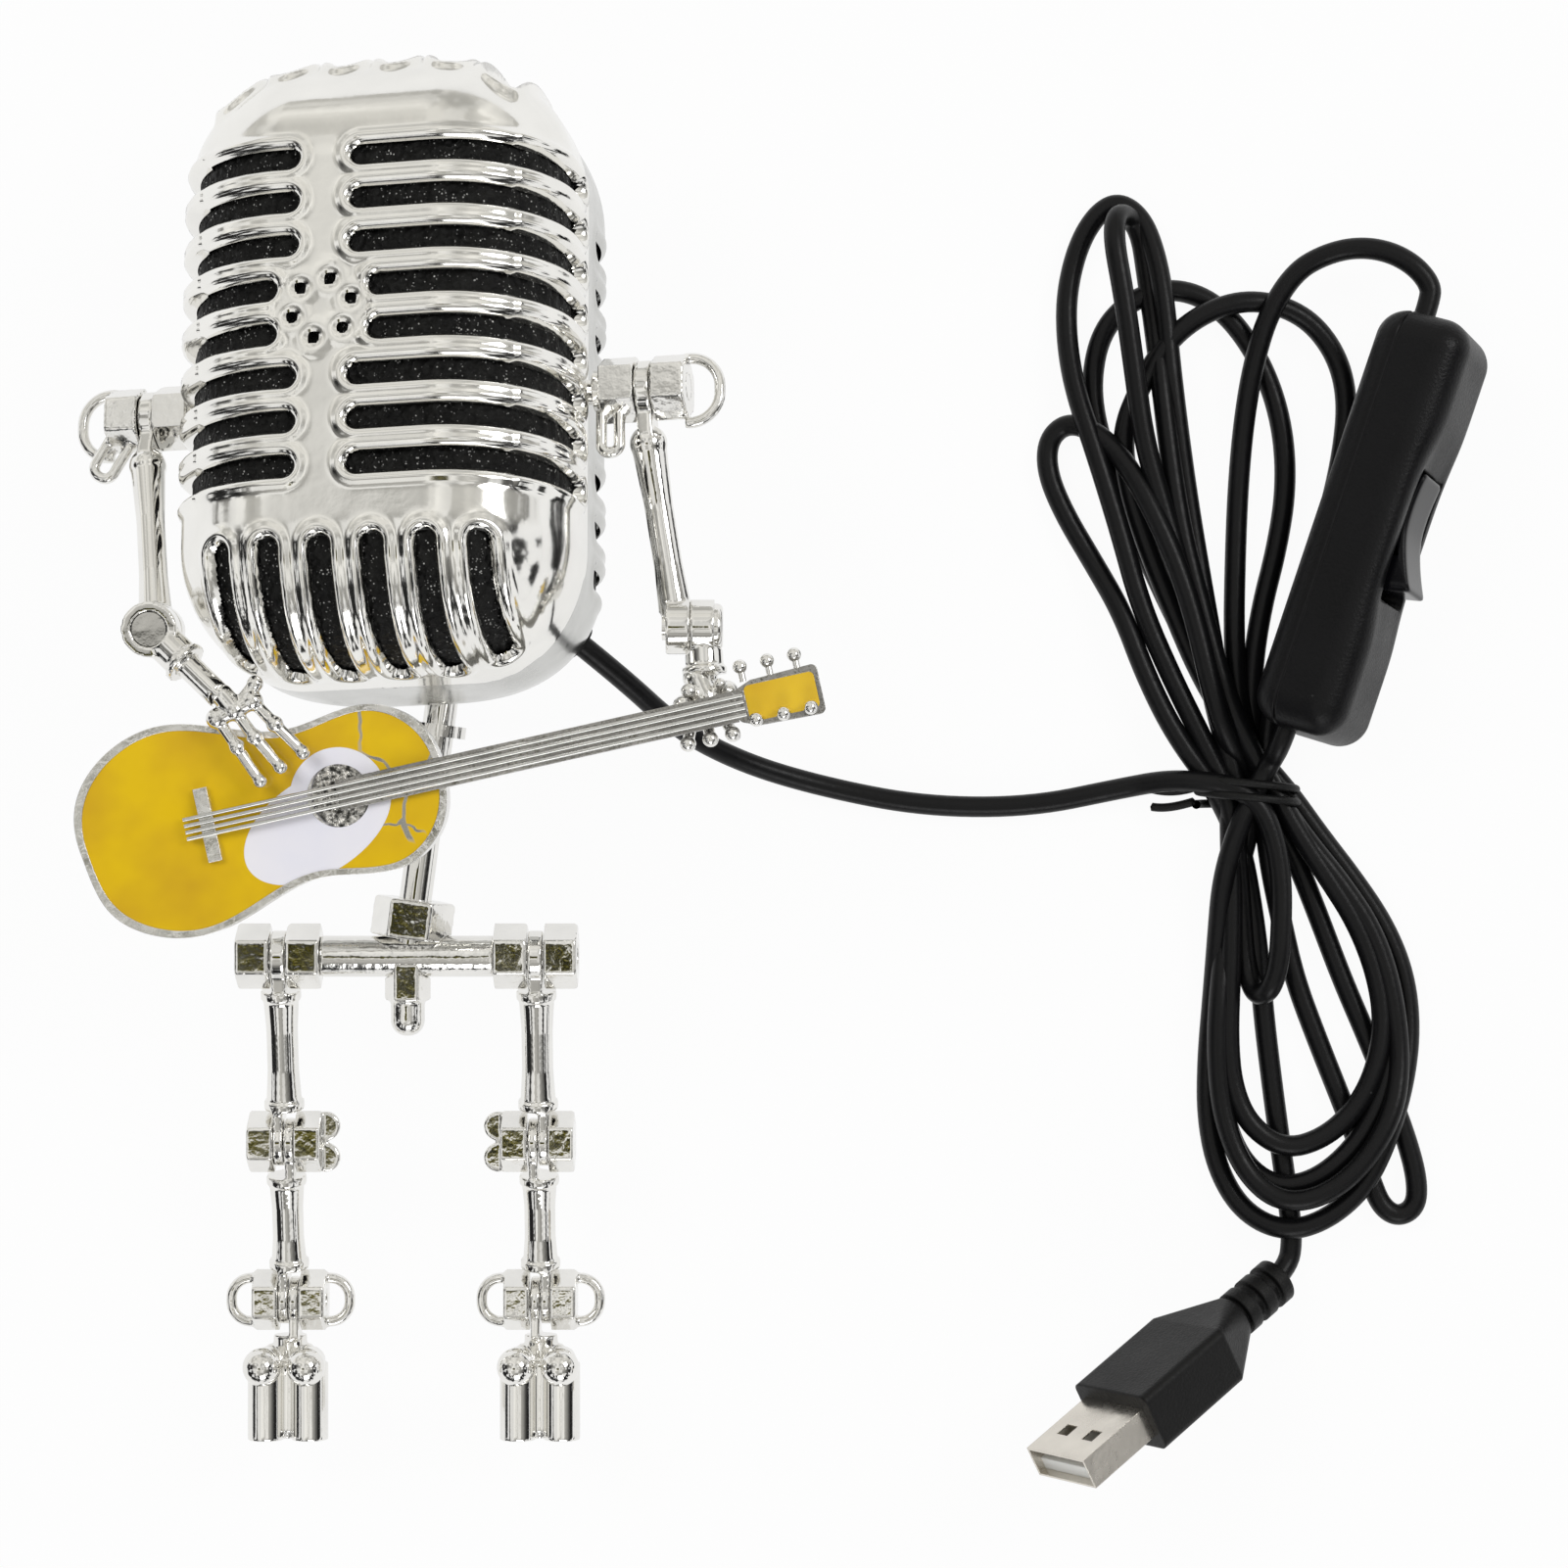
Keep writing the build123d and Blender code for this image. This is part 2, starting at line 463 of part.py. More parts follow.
def makeRightArm():
    x, y, z = RIGHT_ELBOW
    upper = makeUpperArm(rightShoulder, (x, y, z), (1, 0, 0), (x - ELBOW_T / 2, y, z))
    screw = cyl((x - ELBOW_T - 0.5, y, z), (1, 0, 0), PIN_R, 2 * ELBOW_T + 0.6)
    cap = fillet(cyl((x + ELBOW_T, y, z), (1, 0, 0), ELBOW_R - 0.5, 1.1).edges().group_by(Axis.X)[-1], 0.8)
    drum = (x + ELBOW_T / 2, y, z)
    palm = guitarPoint(GRIP_U, 1.6, neckBack - PALM_T / 2 - 0.05)
    fore = disc(drum, (1, 0, 0), ELBOW_R, ELBOW_T) + makeSleeve(drum, (palm[0], palm[1], palm[2] - 0.4), ELBOW_R - 1.2)
    upper -= cyl((x, y, z), (1, 0, 0), ELBOW_R + 0.4, ELBOW_T)
    fore = fore - screw - cap - upper
    turn = Rot(0, 0, GUITAR_TURN)
    hand = Pos(*palm) * (turn * fillet(Box(6.4, 5.0, PALM_T).edges().filter_by(Axis.Z), 1.0))
    for finger in range(3):
        u = GRIP_U - 4.2 + finger * 3.0
        back = neckBack - FINGER_R - 0.3
        first = guitarPoint(GRIP_U - 1.6 + finger * 1.6, 0.4, back)
        knuckle = guitarPoint(u, -NECK_W / 2 - 1.2, back)
        tip = guitarPoint(u + 0.2, -NECK_W / 2 - 2.2, neckBack + 2.2)
        hand += rod(first, knuckle, FINGER_R) + ball(knuckle, FINGER_R + 0.2)
        hand += rod(knuckle, tip, FINGER_R) + ball(tip, FINGER_R)
    fore -= hand
    return upper, screw + cap, fore, hand


def makeLeftArm():
    x, y, z = LEFT_ELBOW
    upper = makeUpperArm(leftShoulder, (x, y, z), (0, 0, 1), (x, y, z))
    upper -= cyl((x, y, z + ELBOW_T / 2), (0, 0, 1), ELBOW_R + 0.4, ELBOW_T)
    low = z + ELBOW_T / 2 + PLAY
    drumT = LEFT_ELBOW_LIFT
    recess = low + drumT - 1.3
    screw = cyl((x, y, z - ELBOW_T / 2 - 0.4), (0, 0, 1), PIN_R, recess + PLAY - z + ELBOW_T / 2 + 0.4)
    screw += cyl((x, y, recess + PLAY), (0, 0, 1), PIN_R + 0.5, 0.9)
    wrist = (*LEFT_WRIST, handZ + 0.3)
    fore = cyl((x, y, low), (0, 0, 1), ELBOW_R, drumT)
    fore += makeSleeve((x, y, low + drumT / 2 - 0.4), wrist, ELBOW_R - 0.6)
    fore -= cyl((x, y, low - 5), (0, 0, 1), PIN_R + RUN, 20)
    fore -= cyl((x, y, recess), (0, 0, 1), PIN_R + 0.6, 20)
    fore -= cyl((x, y, low), (0, 0, -1), ELBOW_R + 5, 10)
    low, high = handZ - FINGER_R, handZ + FINGER_R
    knuckles = [(KNUCKLE_X + KNUCKLE_DX * i, KNUCKLE_Y + KNUCKLE_DY * i) for i in range(3)]
    hand = roundPlate(knuckles[0], knuckles[2], FINGER_R + 0.5, low, high + 0.9)
    hand += roundPlate(LEFT_WRIST, knuckles[1], WRIST_R - 0.15, low, high + 0.7)
    for knuckle, tip in zip(knuckles, FINGER_TIPS):
        middle = (0.55 * knuckle[0] + 0.45 * tip[0], 0.55 * knuckle[1] + 0.45 * tip[1])
        hand += roundPlate(knuckle, middle, FINGER_R + 0.1, low, high + 0.5)
        hand += roundPlate(middle, tip, FINGER_R, low, high)
    fore -= hand
    return upper, screw, fore, hand


def bodyOutline(inset):
    """Closed outline of the guitar's body, along U from the end pin to the neck."""
    low, waist, high = LOWER_BOUT - inset, WAIST - inset, UPPER_BOUT - inset
    start, end = inset, BODY_L - inset
    side = [(start, 0), (start + 2.6, low * 0.66), (LOWER_U, low), (WAIST_U, waist), (UPPER_U, high),
            (end - 1.6, high * 0.62), (end, 0)]
    mirrored = [(u, -v) for u, v in reversed(side[1:-1])]
    return make_face(Spline(*side, *mirrored, periodic=True))


def onGuitar(shape, z):
    return Pos(GUITAR_X, GUITAR_Y, z) * Rot(0, 0, GUITAR_TURN) * shape


def makeGuitar():
    floor = guitarFront - POCKET
    body = onGuitar(extrude(bodyOutline(0), GUITAR_T), GUITAR_Z)
    pocket = onGuitar(extrude(bodyOutline(RIM_W), POCKET + 1), floor)
    slab = onGuitar(extrude(bodyOutline(RIM_W), ENAMEL_T), floor)
    bridge = Pos(BRIDGE_U, 0) * Rectangle(BRIDGE_W, BRIDGE_L)
    board = Pos((HOLE_U + BODY_L) / 2 + 1, 0) * Rectangle(BODY_L - HOLE_U + 2, NECK_W)
    raised = onGuitar(extrude(bridge, POCKET + STRING_LIFT), floor)
    hole = onGuitar(extrude(Pos(HOLE_U, 0) * Circle(HOLE_R), ENAMEL_T), floor)
    guard = Pos(HOLE_U - 3.5, -3.2) * Rot(0, 0, 20) * Ellipse(10.6, 6.2) + Pos(HOLE_U, 0) * Circle(HOLE_R + 2.2)
    boardRoom = onGuitar(extrude(board, 10), floor)
    guardPlate = onGuitar(extrude(guard, ENAMEL_T), floor) & slab
    guardPlate = guardPlate - hole - boardRoom - raised
    enamel = slab - guardPlate - hole - boardRoom - raised
    body = body - pocket - boardRoom + raised
    neckLine = Pos((HOLE_U + HEADSTOCK_U) / 2, 0) * Rectangle(HEADSTOCK_U - HOLE_U, NECK_W)
    neck = onGuitar(extrude(neckLine, stringBase - floor), floor)
    heelU = BODY_L + HEEL_GAP
    heel = Pos((heelU + HEADSTOCK_U) / 2, 0) * Rectangle(HEADSTOCK_U - heelU, NECK_W)
    neck += onGuitar(extrude(heel, NECK_T), neckBack)
    near, far = NECK_W / 2, HEADSTOCK_W / 2
    head = make_face(Polyline((HEADSTOCK_U, -near), (HEADSTOCK_U + 2.5, -far + 0.3), (HEADSTOCK_U + HEADSTOCK_L, -far),
                              (HEADSTOCK_U + HEADSTOCK_L, far), (HEADSTOCK_U + 2.5, far - 0.3), (HEADSTOCK_U, near),
                              close=True))
    head = fillet(extrude(head, NECK_T).edges().filter_by(Axis.Z), 0.8)
    stock = onGuitar(head, neckBack - 0.2)
    inlay = onGuitar(extrude(Pos(HEADSTOCK_U + HEADSTOCK_L / 2 + 0.4, 0)
                             * RectangleRounded(HEADSTOCK_L - 2.0, HEADSTOCK_W - 1.8, 0.7), 1), stringBase - 0.5)
    neck = neck + (stock - inlay)
    headEnamel = onGuitar(extrude(Pos(HEADSTOCK_U + HEADSTOCK_L / 2 + 0.4, 0)
                                  * RectangleRounded(HEADSTOCK_L - 2.0, HEADSTOCK_W - 1.8, 0.7), 0.3), stringBase - 0.5)
    strings, tuners = [], []
    for string in range(STRINGS):
        v = (string - (STRINGS - 1) / 2) * STRING_PITCH
        strings.append(rod(guitarPoint(STRING_START, v, stringBase + STRING_R),
                           guitarPoint(STRING_END, v, stringBase + STRING_R), STRING_R))
    for peg in range(3):
        u = HEADSTOCK_U + 1.6 + peg * TUNER_PITCH
        outer = guitarPoint(u, far + TUNER_L, stringBase - NECK_T / 2)
        knob = rod(guitarPoint(u, far - 0.3, stringBase - NECK_T / 2), outer, 0.45) + ball(outer, TUNER_R)
        face = guitarPoint(u + 0.6, TUNER_IN - far, stringBase)
        post = Pos(*face) * Cylinder(TUNER_R * 0.8, 2) + ball((face[0], face[1], stringBase + 0.9), TUNER_R)
        tuners.append(knob - neck)
        tuners.append(post - neck - headEnamel)
    return body, enamel, guardPlate, neck, headEnamel, strings, tuners


def makeTorso():
    bar = cyl((BODY_X - hipBarHalf, HIP_Y, BODY_Z), (1, 0, 0), HIP_BAR_R, 2 * hipBarHalf)
    pinHalf = hipBarHalf + 2 * NUT_T + EYE_T + 2 * PLAY
    bar += cyl((BODY_X - pinHalf + 0.4, HIP_Y, BODY_Z), (1, 0, 0), PIN_R, 2 * pinHalf - 0.8)
    washer = cyl(tuple(neckAt - spineWay * (PLAY + WASHER_T)), tuple(spineWay), WASHER_R, WASHER_T)
    washer -= cyl(tuple(neckAt - spineWay * 5), tuple(spineWay), SPINE_R, 9)
    spine = rod(tuple(hipAt), tuple(neckAt + spineWay * SPINE_IN), SPINE_R) - bar
    nut = hexNut(tuple(hipAt + spineWay * (HIP_BAR_R - 0.4)), tuple(spineWay), HIP_NUT_AF, HIP_NUT_T, SPINE_R) - bar
    tail = hexNut(tuple(hipAt), (0, -1, 0), TAIL_AF, HIP_BAR_R - 0.8 + TAIL_HEX_L, 0)
    tailEnd = cyl(tuple(hipAt), (0, -1, 0), TAIL_END_R, HIP_BAR_R - 0.8 + TAIL_HEX_L + TAIL_END_L)
    tail = tail + fillet(tailEnd.edges().group_by(Axis.Y)[0], TAIL_END_R - 0.2) - bar
    nuts = []
    for side in (1, -1):
        for x in (hipBarHalf, LEG_X + EYE_T / 2 + PLAY):
            nuts.append(hexNut((BODY_X + side * x, HIP_Y, BODY_Z), (side, 0, 0), NUT_AF, NUT_T, PIN_R))
    return washer, spine, nut, bar, tail, nuts


hipBarHalf = LEG_X - EYE_T / 2 - PLAY - NUT_T
legSlope = asin((BODY_Z - HEEL_BACK) / (THIGH_L + SHIN_L))
legWay = Vector(0, -cos(legSlope), -sin(legSlope))


def eye(pivot, along, radius, length, thickness, offset, bore):
    """Eye plate square to X: round at the pivot, with a tongue along the limb."""
    plane = Plane(origin=tuple(pivot + Vector(offset, 0, 0)), x_dir=tuple(along), z_dir=(1, 0, 0))
    tongue = Box(length, 2 * LEG_R, thickness, align=(Align.MIN, Align.CENTER, Align.CENTER))
    return plane * (Cylinder(radius, thickness) + tongue - Cylinder(bore, 2 * thickness))


def limb(start, end, startLength, endLength):
    """Rod of a thigh or shin between its two tongues, with a collar at each end."""
    way = (end - start).normalized()
    low, high = start + way * (startLength - 0.4), end - way * (endLength - 0.4)
    body = waisted(tuple(low), tuple(high), LEG_R, LEG_R - 0.35)
    return body + disc(tuple(low + way * 0.6), tuple(way), LEG_R + 0.25, 1.2) + disc(
        tuple(high - way * 0.6), tuple(way), LEG_R + 0.25, 1.2)


def pivotBolt(pivot, inward):
    """Bolt of a knee or an ankle, with its hexagon head on the outer side."""
    face = JOINT_EYE_T + PLAY / 2
    head = hexNut(tuple(pivot - Vector(inward * face, 0, 0)), (-inward, 0, 0), JOINT_NUT_AF, JOINT_NUT_T, 0)
    shaft = cyl(tuple(pivot - Vector(inward * (face + 1), 0, 0)), (inward, 0, 0), JOINT_PIN_R,
                2 * face + 1 + PLAY + JOINT_NUT_T - 0.4)
    return head + shaft


def pivotNut(pivot, inward):
    face = inward * (JOINT_EYE_T + PLAY / 2 + PLAY)
    return hexNut(tuple(pivot + Vector(face, 0, 0)), (inward, 0, 0), JOINT_NUT_AF, JOINT_NUT_T, JOINT_PIN_R)


def wing(pivot, way):
    """D-shaped wire wing on the outer face of an ankle's nut or bolt head."""
    face = JOINT_EYE_T + PLAY / 2 + JOINT_NUT_T
    return loop(tuple(pivot + Vector(way * (face - 0.4), 0, 0)), (way, 0, 0), (0, 1, 0), WING_REACH, WING_W,
                LOOP_WIRE)


def makeLeg(side):
    inward = -side
    hip = Vector(BODY_X + side * LEG_X, HIP_Y, BODY_Z)
    knee = hip + legWay * THIGH_L
    ankle = knee + legWay * SHIN_L
    near = inward * (JOINT_EYE_T + PLAY) / 2
    thigh = eye(hip, legWay, HIP_EYE_R, HIP_TONGUE, EYE_T, 0, PIN_R + RUN)
    thigh += limb(hip, knee, HIP_TONGUE, JOINT_TONGUE)
    thigh += eye(knee, -legWay, JOINT_EYE_R, JOINT_TONGUE, JOINT_EYE_T, -near, JOINT_PIN_R)
    kneeNut = pivotNut(knee, inward)
    out = knee.X + inward * (JOINT_EYE_T + PLAY * 1.5 + JOINT_NUT_T + 0.5)
    for way in (1, -1):
        kneeNut += disc((out, knee.Y + way * (FIN_R + 0.15), knee.Z), (0, 0, 1), FIN_R, FIN_T)
    kneeBolt = pivotBolt(knee, inward)
    kneeNut -= kneeBolt
    shin = eye(knee, legWay, JOINT_EYE_R, JOINT_TONGUE, JOINT_EYE_T, near, JOINT_PIN_R + RUN)
    shin += limb(knee, ankle, JOINT_TONGUE, JOINT_TONGUE)
    shin += eye(ankle, -legWay, JOINT_EYE_R, JOINT_TONGUE, JOINT_EYE_T, -near, JOINT_PIN_R)
    ankleBolt = pivotBolt(ankle, inward) + wing(ankle, side)
    ankleNut = pivotNut(ankle, inward) + wing(ankle + Vector(inward * PLAY, 0, 0), inward)
    return thigh, kneeBolt, kneeNut, shin, ankleBolt, ankleNut, makeFoot(ankle, near)


def makeFoot(ankle, near):
    """Foot square to the table's length: two toes in front, a heel behind, flat sole."""
    sole = ankle.Y - FOOT_L
    bar = sole + KNUCKLE_UP
    foot = eye(ankle, Vector(0, -1, 0), JOINT_EYE_R, JOINT_TONGUE, JOINT_EYE_T, near, JOINT_PIN_R + RUN)
    foot += rod((ankle.X, ankle.Y - JOINT_TONGUE + 0.4, ankle.Z), (ankle.X, bar, ankle.Z), LEG_R - 0.2)
    foot += rod((ankle.X - TOE_X, bar, ankle.Z), (ankle.X + TOE_X, bar, ankle.Z), TOE_ROD_R + 0.3)
    for x in (ankle.X - TOE_X, ankle.X + TOE_X):
        tip = (x, bar, ankle.Z + KNUCKLE_Z)
        foot += rod((x, bar, ankle.Z), tip, TOE_ROD_R) + ball(tip, TOE_BALL_R)
        foot += cyl((x, sole, ankle.Z + TOE_Z), (0, 1, 0), TOE_R, KNUCKLE_UP)
    heelL = HEEL_BACK + TOE_Z
    foot += Pos(ankle.X, sole + HEEL_H / 2, ankle.Z + TOE_Z - heelL / 2) * Box(HEEL_W, HEEL_H, heelL)
    return foot + rod((ankle.X, sole + 1, ankle.Z + TOE_Z), (ankle.X, bar, ankle.Z + TOE_Z), FOOT_BOLT_R)


# Outline of the tied hank, above and below its tie.
HANK_TOP = [(94.4, 9.8), (85.5, 23.6), (79.0, 40.1), (80.3, 50.3), (81.6, 64.8), (84.1, 75.1), (90.7, 80.4),
            (97.2, 75.6), (102.6, 69.8), (111.6, 66.9), (119.9, 63.4), (123.7, 55.2), (121.4, 43.2),
            (116.2, 30.8), (112.6, 18.1), (109.8, 8.0), (111.2, 2.6)]
HANK_END = [(125.3, -14.9), (132.9, -25.9), (135.0, -38.3), (134.7, -52.1), (133.3, -62.4), (127.4, -67.5),
            (115.7, -69.2), (107.8, -66.5), (102.3, -52.1), (100.9, -31.4), (101.3, -14.9)]
LEAD = [(29.5, 3.6, 11.0), (38.5, -1.1, 4.8), (50.0, -4.5, 1.8), (64.0, -7.2, 1.6), (79.0, -7.3, 1.7),
        (92.0, -4.6, 2.2), (102.9, 0.4, 3.4)]
SWITCH_IN = [(110.4, 60.0, 5.6), (111.6, 66.6, 7.4), (115.0, 71.4, 8.8), (121.0, 74.2, 9.6), (127.4, 73.4, 10.0),
             (132.2, 69.2, 10.0)]


def cordTube(name, points):
    """Tube of straight runs joined by tangent arcs, each as large as its two runs allow."""
    at = [Vector(*p) for p in points]
    radii = []
    for a, b, c in zip(at, at[1:], at[2:]):
        turn = (b - a).get_angle(c - b)
        radii.append(0.45 * min((b - a).length, (c - b).length) / tan(radians(turn / 2)))
    path = FilletPolyline(*[tuple(p) for p in at], radius=radii)
    start = Plane(origin=tuple(at[0]), z_dir=tuple(at[1] - at[0]))
    tube = sweep(start * Circle(CORD_D / 2), path)
    section = pi * CORD_D ** 2 / 4
    print(name, "radii", [round(r, 1) for r in radii], "length", round(path.length, 1),
          "volume", round(tube.volume, 1), "section x length", round(section * path.length, 1))
    return tube


def makeHank():
    left, right = TIE_X - TIE_W / 2, TIE_X + TIE_W / 2
    up, down = TIE_Y + TIE_L / 2, TIE_Y - TIE_L / 2
    outline = [Spline((left, up), *HANK_TOP, (right, up)), Line((right, up), (right, down)),
               Spline((right, down), *HANK_END, (left, down)), Line((left, down), (left, up))]
    hank = extrude(make_face(outline), HANK_T).moved(Pos(0, 0, HANK_Z))
    tie = Pos(TIE_X, TIE_Y, HANK_Z + HANK_T / 2) * Box(TIE_W + 2 * TIE_T, TIE_L, HANK_T + 2 * TIE_T)
    tail = rod((left - TIE_T / 2, down + TIE_TAIL_R + 0.2, HANK_Z + 3), (left - TIE_TAIL_L, down + TIE_TAIL_R,
                                                                        HANK_Z + 3), TIE_TAIL_R)
    return hank, tie - hank + (tail - hank)


switchPlace = (Pos(SWITCH_X, SWITCH_Y, SWITCH_W / 2 * sin(radians(SWITCH_ROLL)) + 0.05) * Rot(0, 0, SWITCH_TURN)
               * Rot(0, SWITCH_ROLL, 0))


def inSwitch(x, y, z):
    """A point of the switch's own frame in the table frame."""
    return (switchPlace * Location((x, y, z))).position


def makeSwitch():
    half = SWITCH_T / 2
    case = Pos(0, 0, half) * Box(SWITCH_W, SWITCH_L, SWITCH_T)
    case = fillet(case.edges().filter_by(Axis.Z), SWITCH_CORNER)
    case = fillet(case.faces().sort_by(Axis.Z)[-1].edges(), SWITCH_EDGE)
    case = fillet(case.faces().sort_by(Axis.Z)[0].edges(), SWITCH_EDGE / 2)
    inner = Pos(0, 0, half) * Box(SWITCH_W - 2 * SWITCH_WALL, SWITCH_L - 2 * SWITCH_WALL, SWITCH_T - 2 * SWITCH_WALL)
    case -= fillet(inner.edges().filter_by(Axis.Z), SWITCH_CORNER - SWITCH_WALL)
    case -= Pos(0, 0, SWITCH_SEAM) * Rot(90, 0, 0) * Cylinder(CORD_D / 2, 2 * SWITCH_L)
    pivot = SWITCH_T - ROCKER_PIVOT
    gap = 2 * ROCKER_GAP
    room = 2 * (ROCKER_RIM * sin(radians(ROCKER_TILT)) + ROCKER_GAP)
    opening = Pos(0, 0, SWITCH_T) * Box(ROCKER_W + gap, ROCKER_L + room, 4 * SWITCH_WALL)
    lower = insideForm(case, 0, SWITCH_SEAM)
    upper = insideForm(case, SWITCH_SEAM, SWITCH_T) - opening
    end = ROCKER_L / 2
    profile = make_face(Polyline((-end, -1.0), (-end, ROCKER_RIM), (0, ROCKER_DIP), (end, ROCKER_RIM), (end, -1.0),
                                 (end * 0.6, -2.6), (-end * 0.6, -2.6), close=True))
    rocker = Plane(origin=(-ROCKER_W / 2, 0, 0), x_dir=(0, 1, 0), z_dir=(1, 0, 0)) * extrude(profile, ROCKER_W)
    rocker = Pos(0, 0, pivot) * Rot(-ROCKER_TILT, 0, 0) * rocker
    return [switchPlace * piece for piece in (lower, upper, rocker)]


rise = radians(PLUG_RISE)
plugWay = Vector(cos(radians(PLUG_HEADING)) * cos(rise), sin(radians(PLUG_HEADING)) * cos(rise), sin(rise))
plugAcross = Vector(plugWay.Z, 0, -plugWay.X).normalized()
plugPlane = Plane(origin=(PLUG_X, PLUG_Y, PLUG_Z), x_dir=tuple(plugAcross), z_dir=tuple(plugWay))


def makePlug():
    low = (Align.CENTER, Align.CENTER, Align.MIN)
    front = RELIEF_L + OVERMOLD_L
    relief = Cylinder(RELIEF_R - 0.9, RELIEF_L + 1, align=low)
    for ring in range(RELIEF_RINGS):
        relief += Pos(0, 0, ring * RELIEF_L / RELIEF_RINGS) * Cylinder(RELIEF_R, RING_T, align=low)
    sections = []
    for z, w, t, r in ((RELIEF_L - 0.6, 2 * RELIEF_R, 2 * RELIEF_R, RELIEF_R - 0.1),
                       (RELIEF_L + OVERMOLD_TAPER, OVERMOLD_W, OVERMOLD_T, 1.2)):
        sections.append(Pos(0, 0, z) * RectangleRounded(w, t, r))
    body = loft(sections)
    block = Pos(0, 0, RELIEF_L + OVERMOLD_TAPER) * Box(OVERMOLD_W, OVERMOLD_T, OVERMOLD_L - OVERMOLD_TAPER, align=low)
    body = relief + body + fillet(block.edges().filter_by(Axis.Z), 1.2)
    body -= Cylinder(CORD_D / 2, 6)
    shell = Pos(0, 0, front) * (Box(SHELL_W, SHELL_T, SHELL_L, align=low)
                                - Box(SHELL_W - 2 * SHELL_WALL, SHELL_T - 2 * SHELL_WALL, 3 * SHELL_L))
    for x in (WINDOW_X, -WINDOW_X):
        shell -= Pos(x, 0, front + SHELL_L - WINDOW_IN) * Box(WINDOW, 2 * SHELL_T, WINDOW)
    bottom = -SHELL_T / 2 + SHELL_WALL + TONGUE_T / 2
    tongue = Pos(0, bottom, front) * Box(SHELL_W - 2 * SHELL_WALL, TONGUE_T, TONGUE_L, align=low)
    return [plugPlane * piece for piece in (body, shell, tongue)]


front, rear, linerFront, linerRear, headScrews = makeHead()
board, chips, dome = makeLight()
shoulders = [makeShoulder(side) for side in (1, -1)]
for name, piece in (("front_shell", front), ("rear_shell", rear), ("liner_front", linerFront),
                    ("liner_rear", linerRear), ("led_board", board), ("diffuser", dome),
                    ("right_wing_nut", shoulders[0][2]), ("left_wing_nut", shoulders[1][2])):
    save(name, headPlace * piece)
save("head_screws", *[headPlace * piece for piece in headScrews])
save("led_chips", *[headPlace * piece for piece in chips])
save("shoulder_bolts", *[headPlace * pieces[0] for pieces in shoulders])
save("shoulder_inner_nuts", *[headPlace * pieces[1] for pieces in shoulders])
save("cable_grommet", makeGrommet())

for side, pieces in (("right", makeRightArm()), ("left", makeLeftArm())):
    for name, piece in zip(("upper_arm", "elbow_screw", "forearm", "hand"), pieces):
        save(f"{side}_{name}", piece)

body, enamel, guard, neck, headEnamel, strings, tuners = makeGuitar()
for name, piece in (("guitar_body", body), ("guitar_enamel", enamel), ("pickguard", guard), ("guitar_neck", neck),
                    ("headstock_enamel", headEnamel)):
    save(name, piece)
save("guitar_strings", *strings)
save("tuners", *tuners)

washer, spine, hipNut, hipBar, tail, hipNuts = makeTorso()
for name, piece in (("neck_washer", washer), ("spine_rod", spine), ("hip_nut", hipNut), ("hip_bar", hipBar),
                    ("tail_bolt", tail)):
    save(name, piece)
save("hip_nuts", *hipNuts)
for name, side in (("right", 1), ("left", -1)):
    for piece, shape in zip(("thigh", "knee_bolt", "knee_wing_nut", "shin", "ankle_bolt", "ankle_wing_nut", "foot"),
                            makeLeg(side)):
        save(f"{name}_{piece}", shape)

hank, tie = makeHank()
switchLower, switchUpper, rocker = makeSwitch()
overmold, usbShell, usbTongue = makePlug()
lead = cordTube("lead", [tuple(exitAt - exitWay * (GROMMET_L - 0.1)), tuple(exitAt + exitWay * 7)] + LEAD)
topIn = inSwitch(0, SWITCH_L / 2 - SWITCH_WALL, SWITCH_SEAM)
topOut = inSwitch(0, SWITCH_L / 2 + 4, SWITCH_SEAM)
switchIn = cordTube("into the switch", SWITCH_IN + [tuple(topOut), tuple(topIn)])
endIn = inSwitch(0, -SWITCH_L / 2 + SWITCH_WALL, SWITCH_SEAM)
endOut = inSwitch(0, -SWITCH_L / 2 - 2.4, SWITCH_SEAM)
switchOut = cordTube("out of the switch", [tuple(endIn), tuple(endOut), (111.2, -1.6, 6.4)])
plugStart = Vector(PLUG_X, PLUG_Y, PLUG_Z)
tailTube = cordTube("to the plug", [(116.0, -63.0, 4.5), (117.0, -69.4, 2.6), tuple(plugStart - plugWay * 2.6),
                                    tuple(plugStart + plugWay * 3)])
save("cord_lead", lead - hank - tie)
save("cord_switch_in", switchIn - hank)
save("cord_switch_out", switchOut - hank - tie)
save("cord_tail", tailTube - hank)
for name, piece in (("cord_hank", hank), ("twist_tie", tie), ("switch_lower", switchLower),
                    ("switch_upper", switchUpper), ("rocker", rocker), ("plug_overmold", overmold),
                    ("usb_shell", usbShell), ("usb_tongue", usbTongue)):
    save(name, piece)
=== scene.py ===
import json
import math

import bmesh
import bpy
import numpy as np
from mathutils import Matrix, Vector

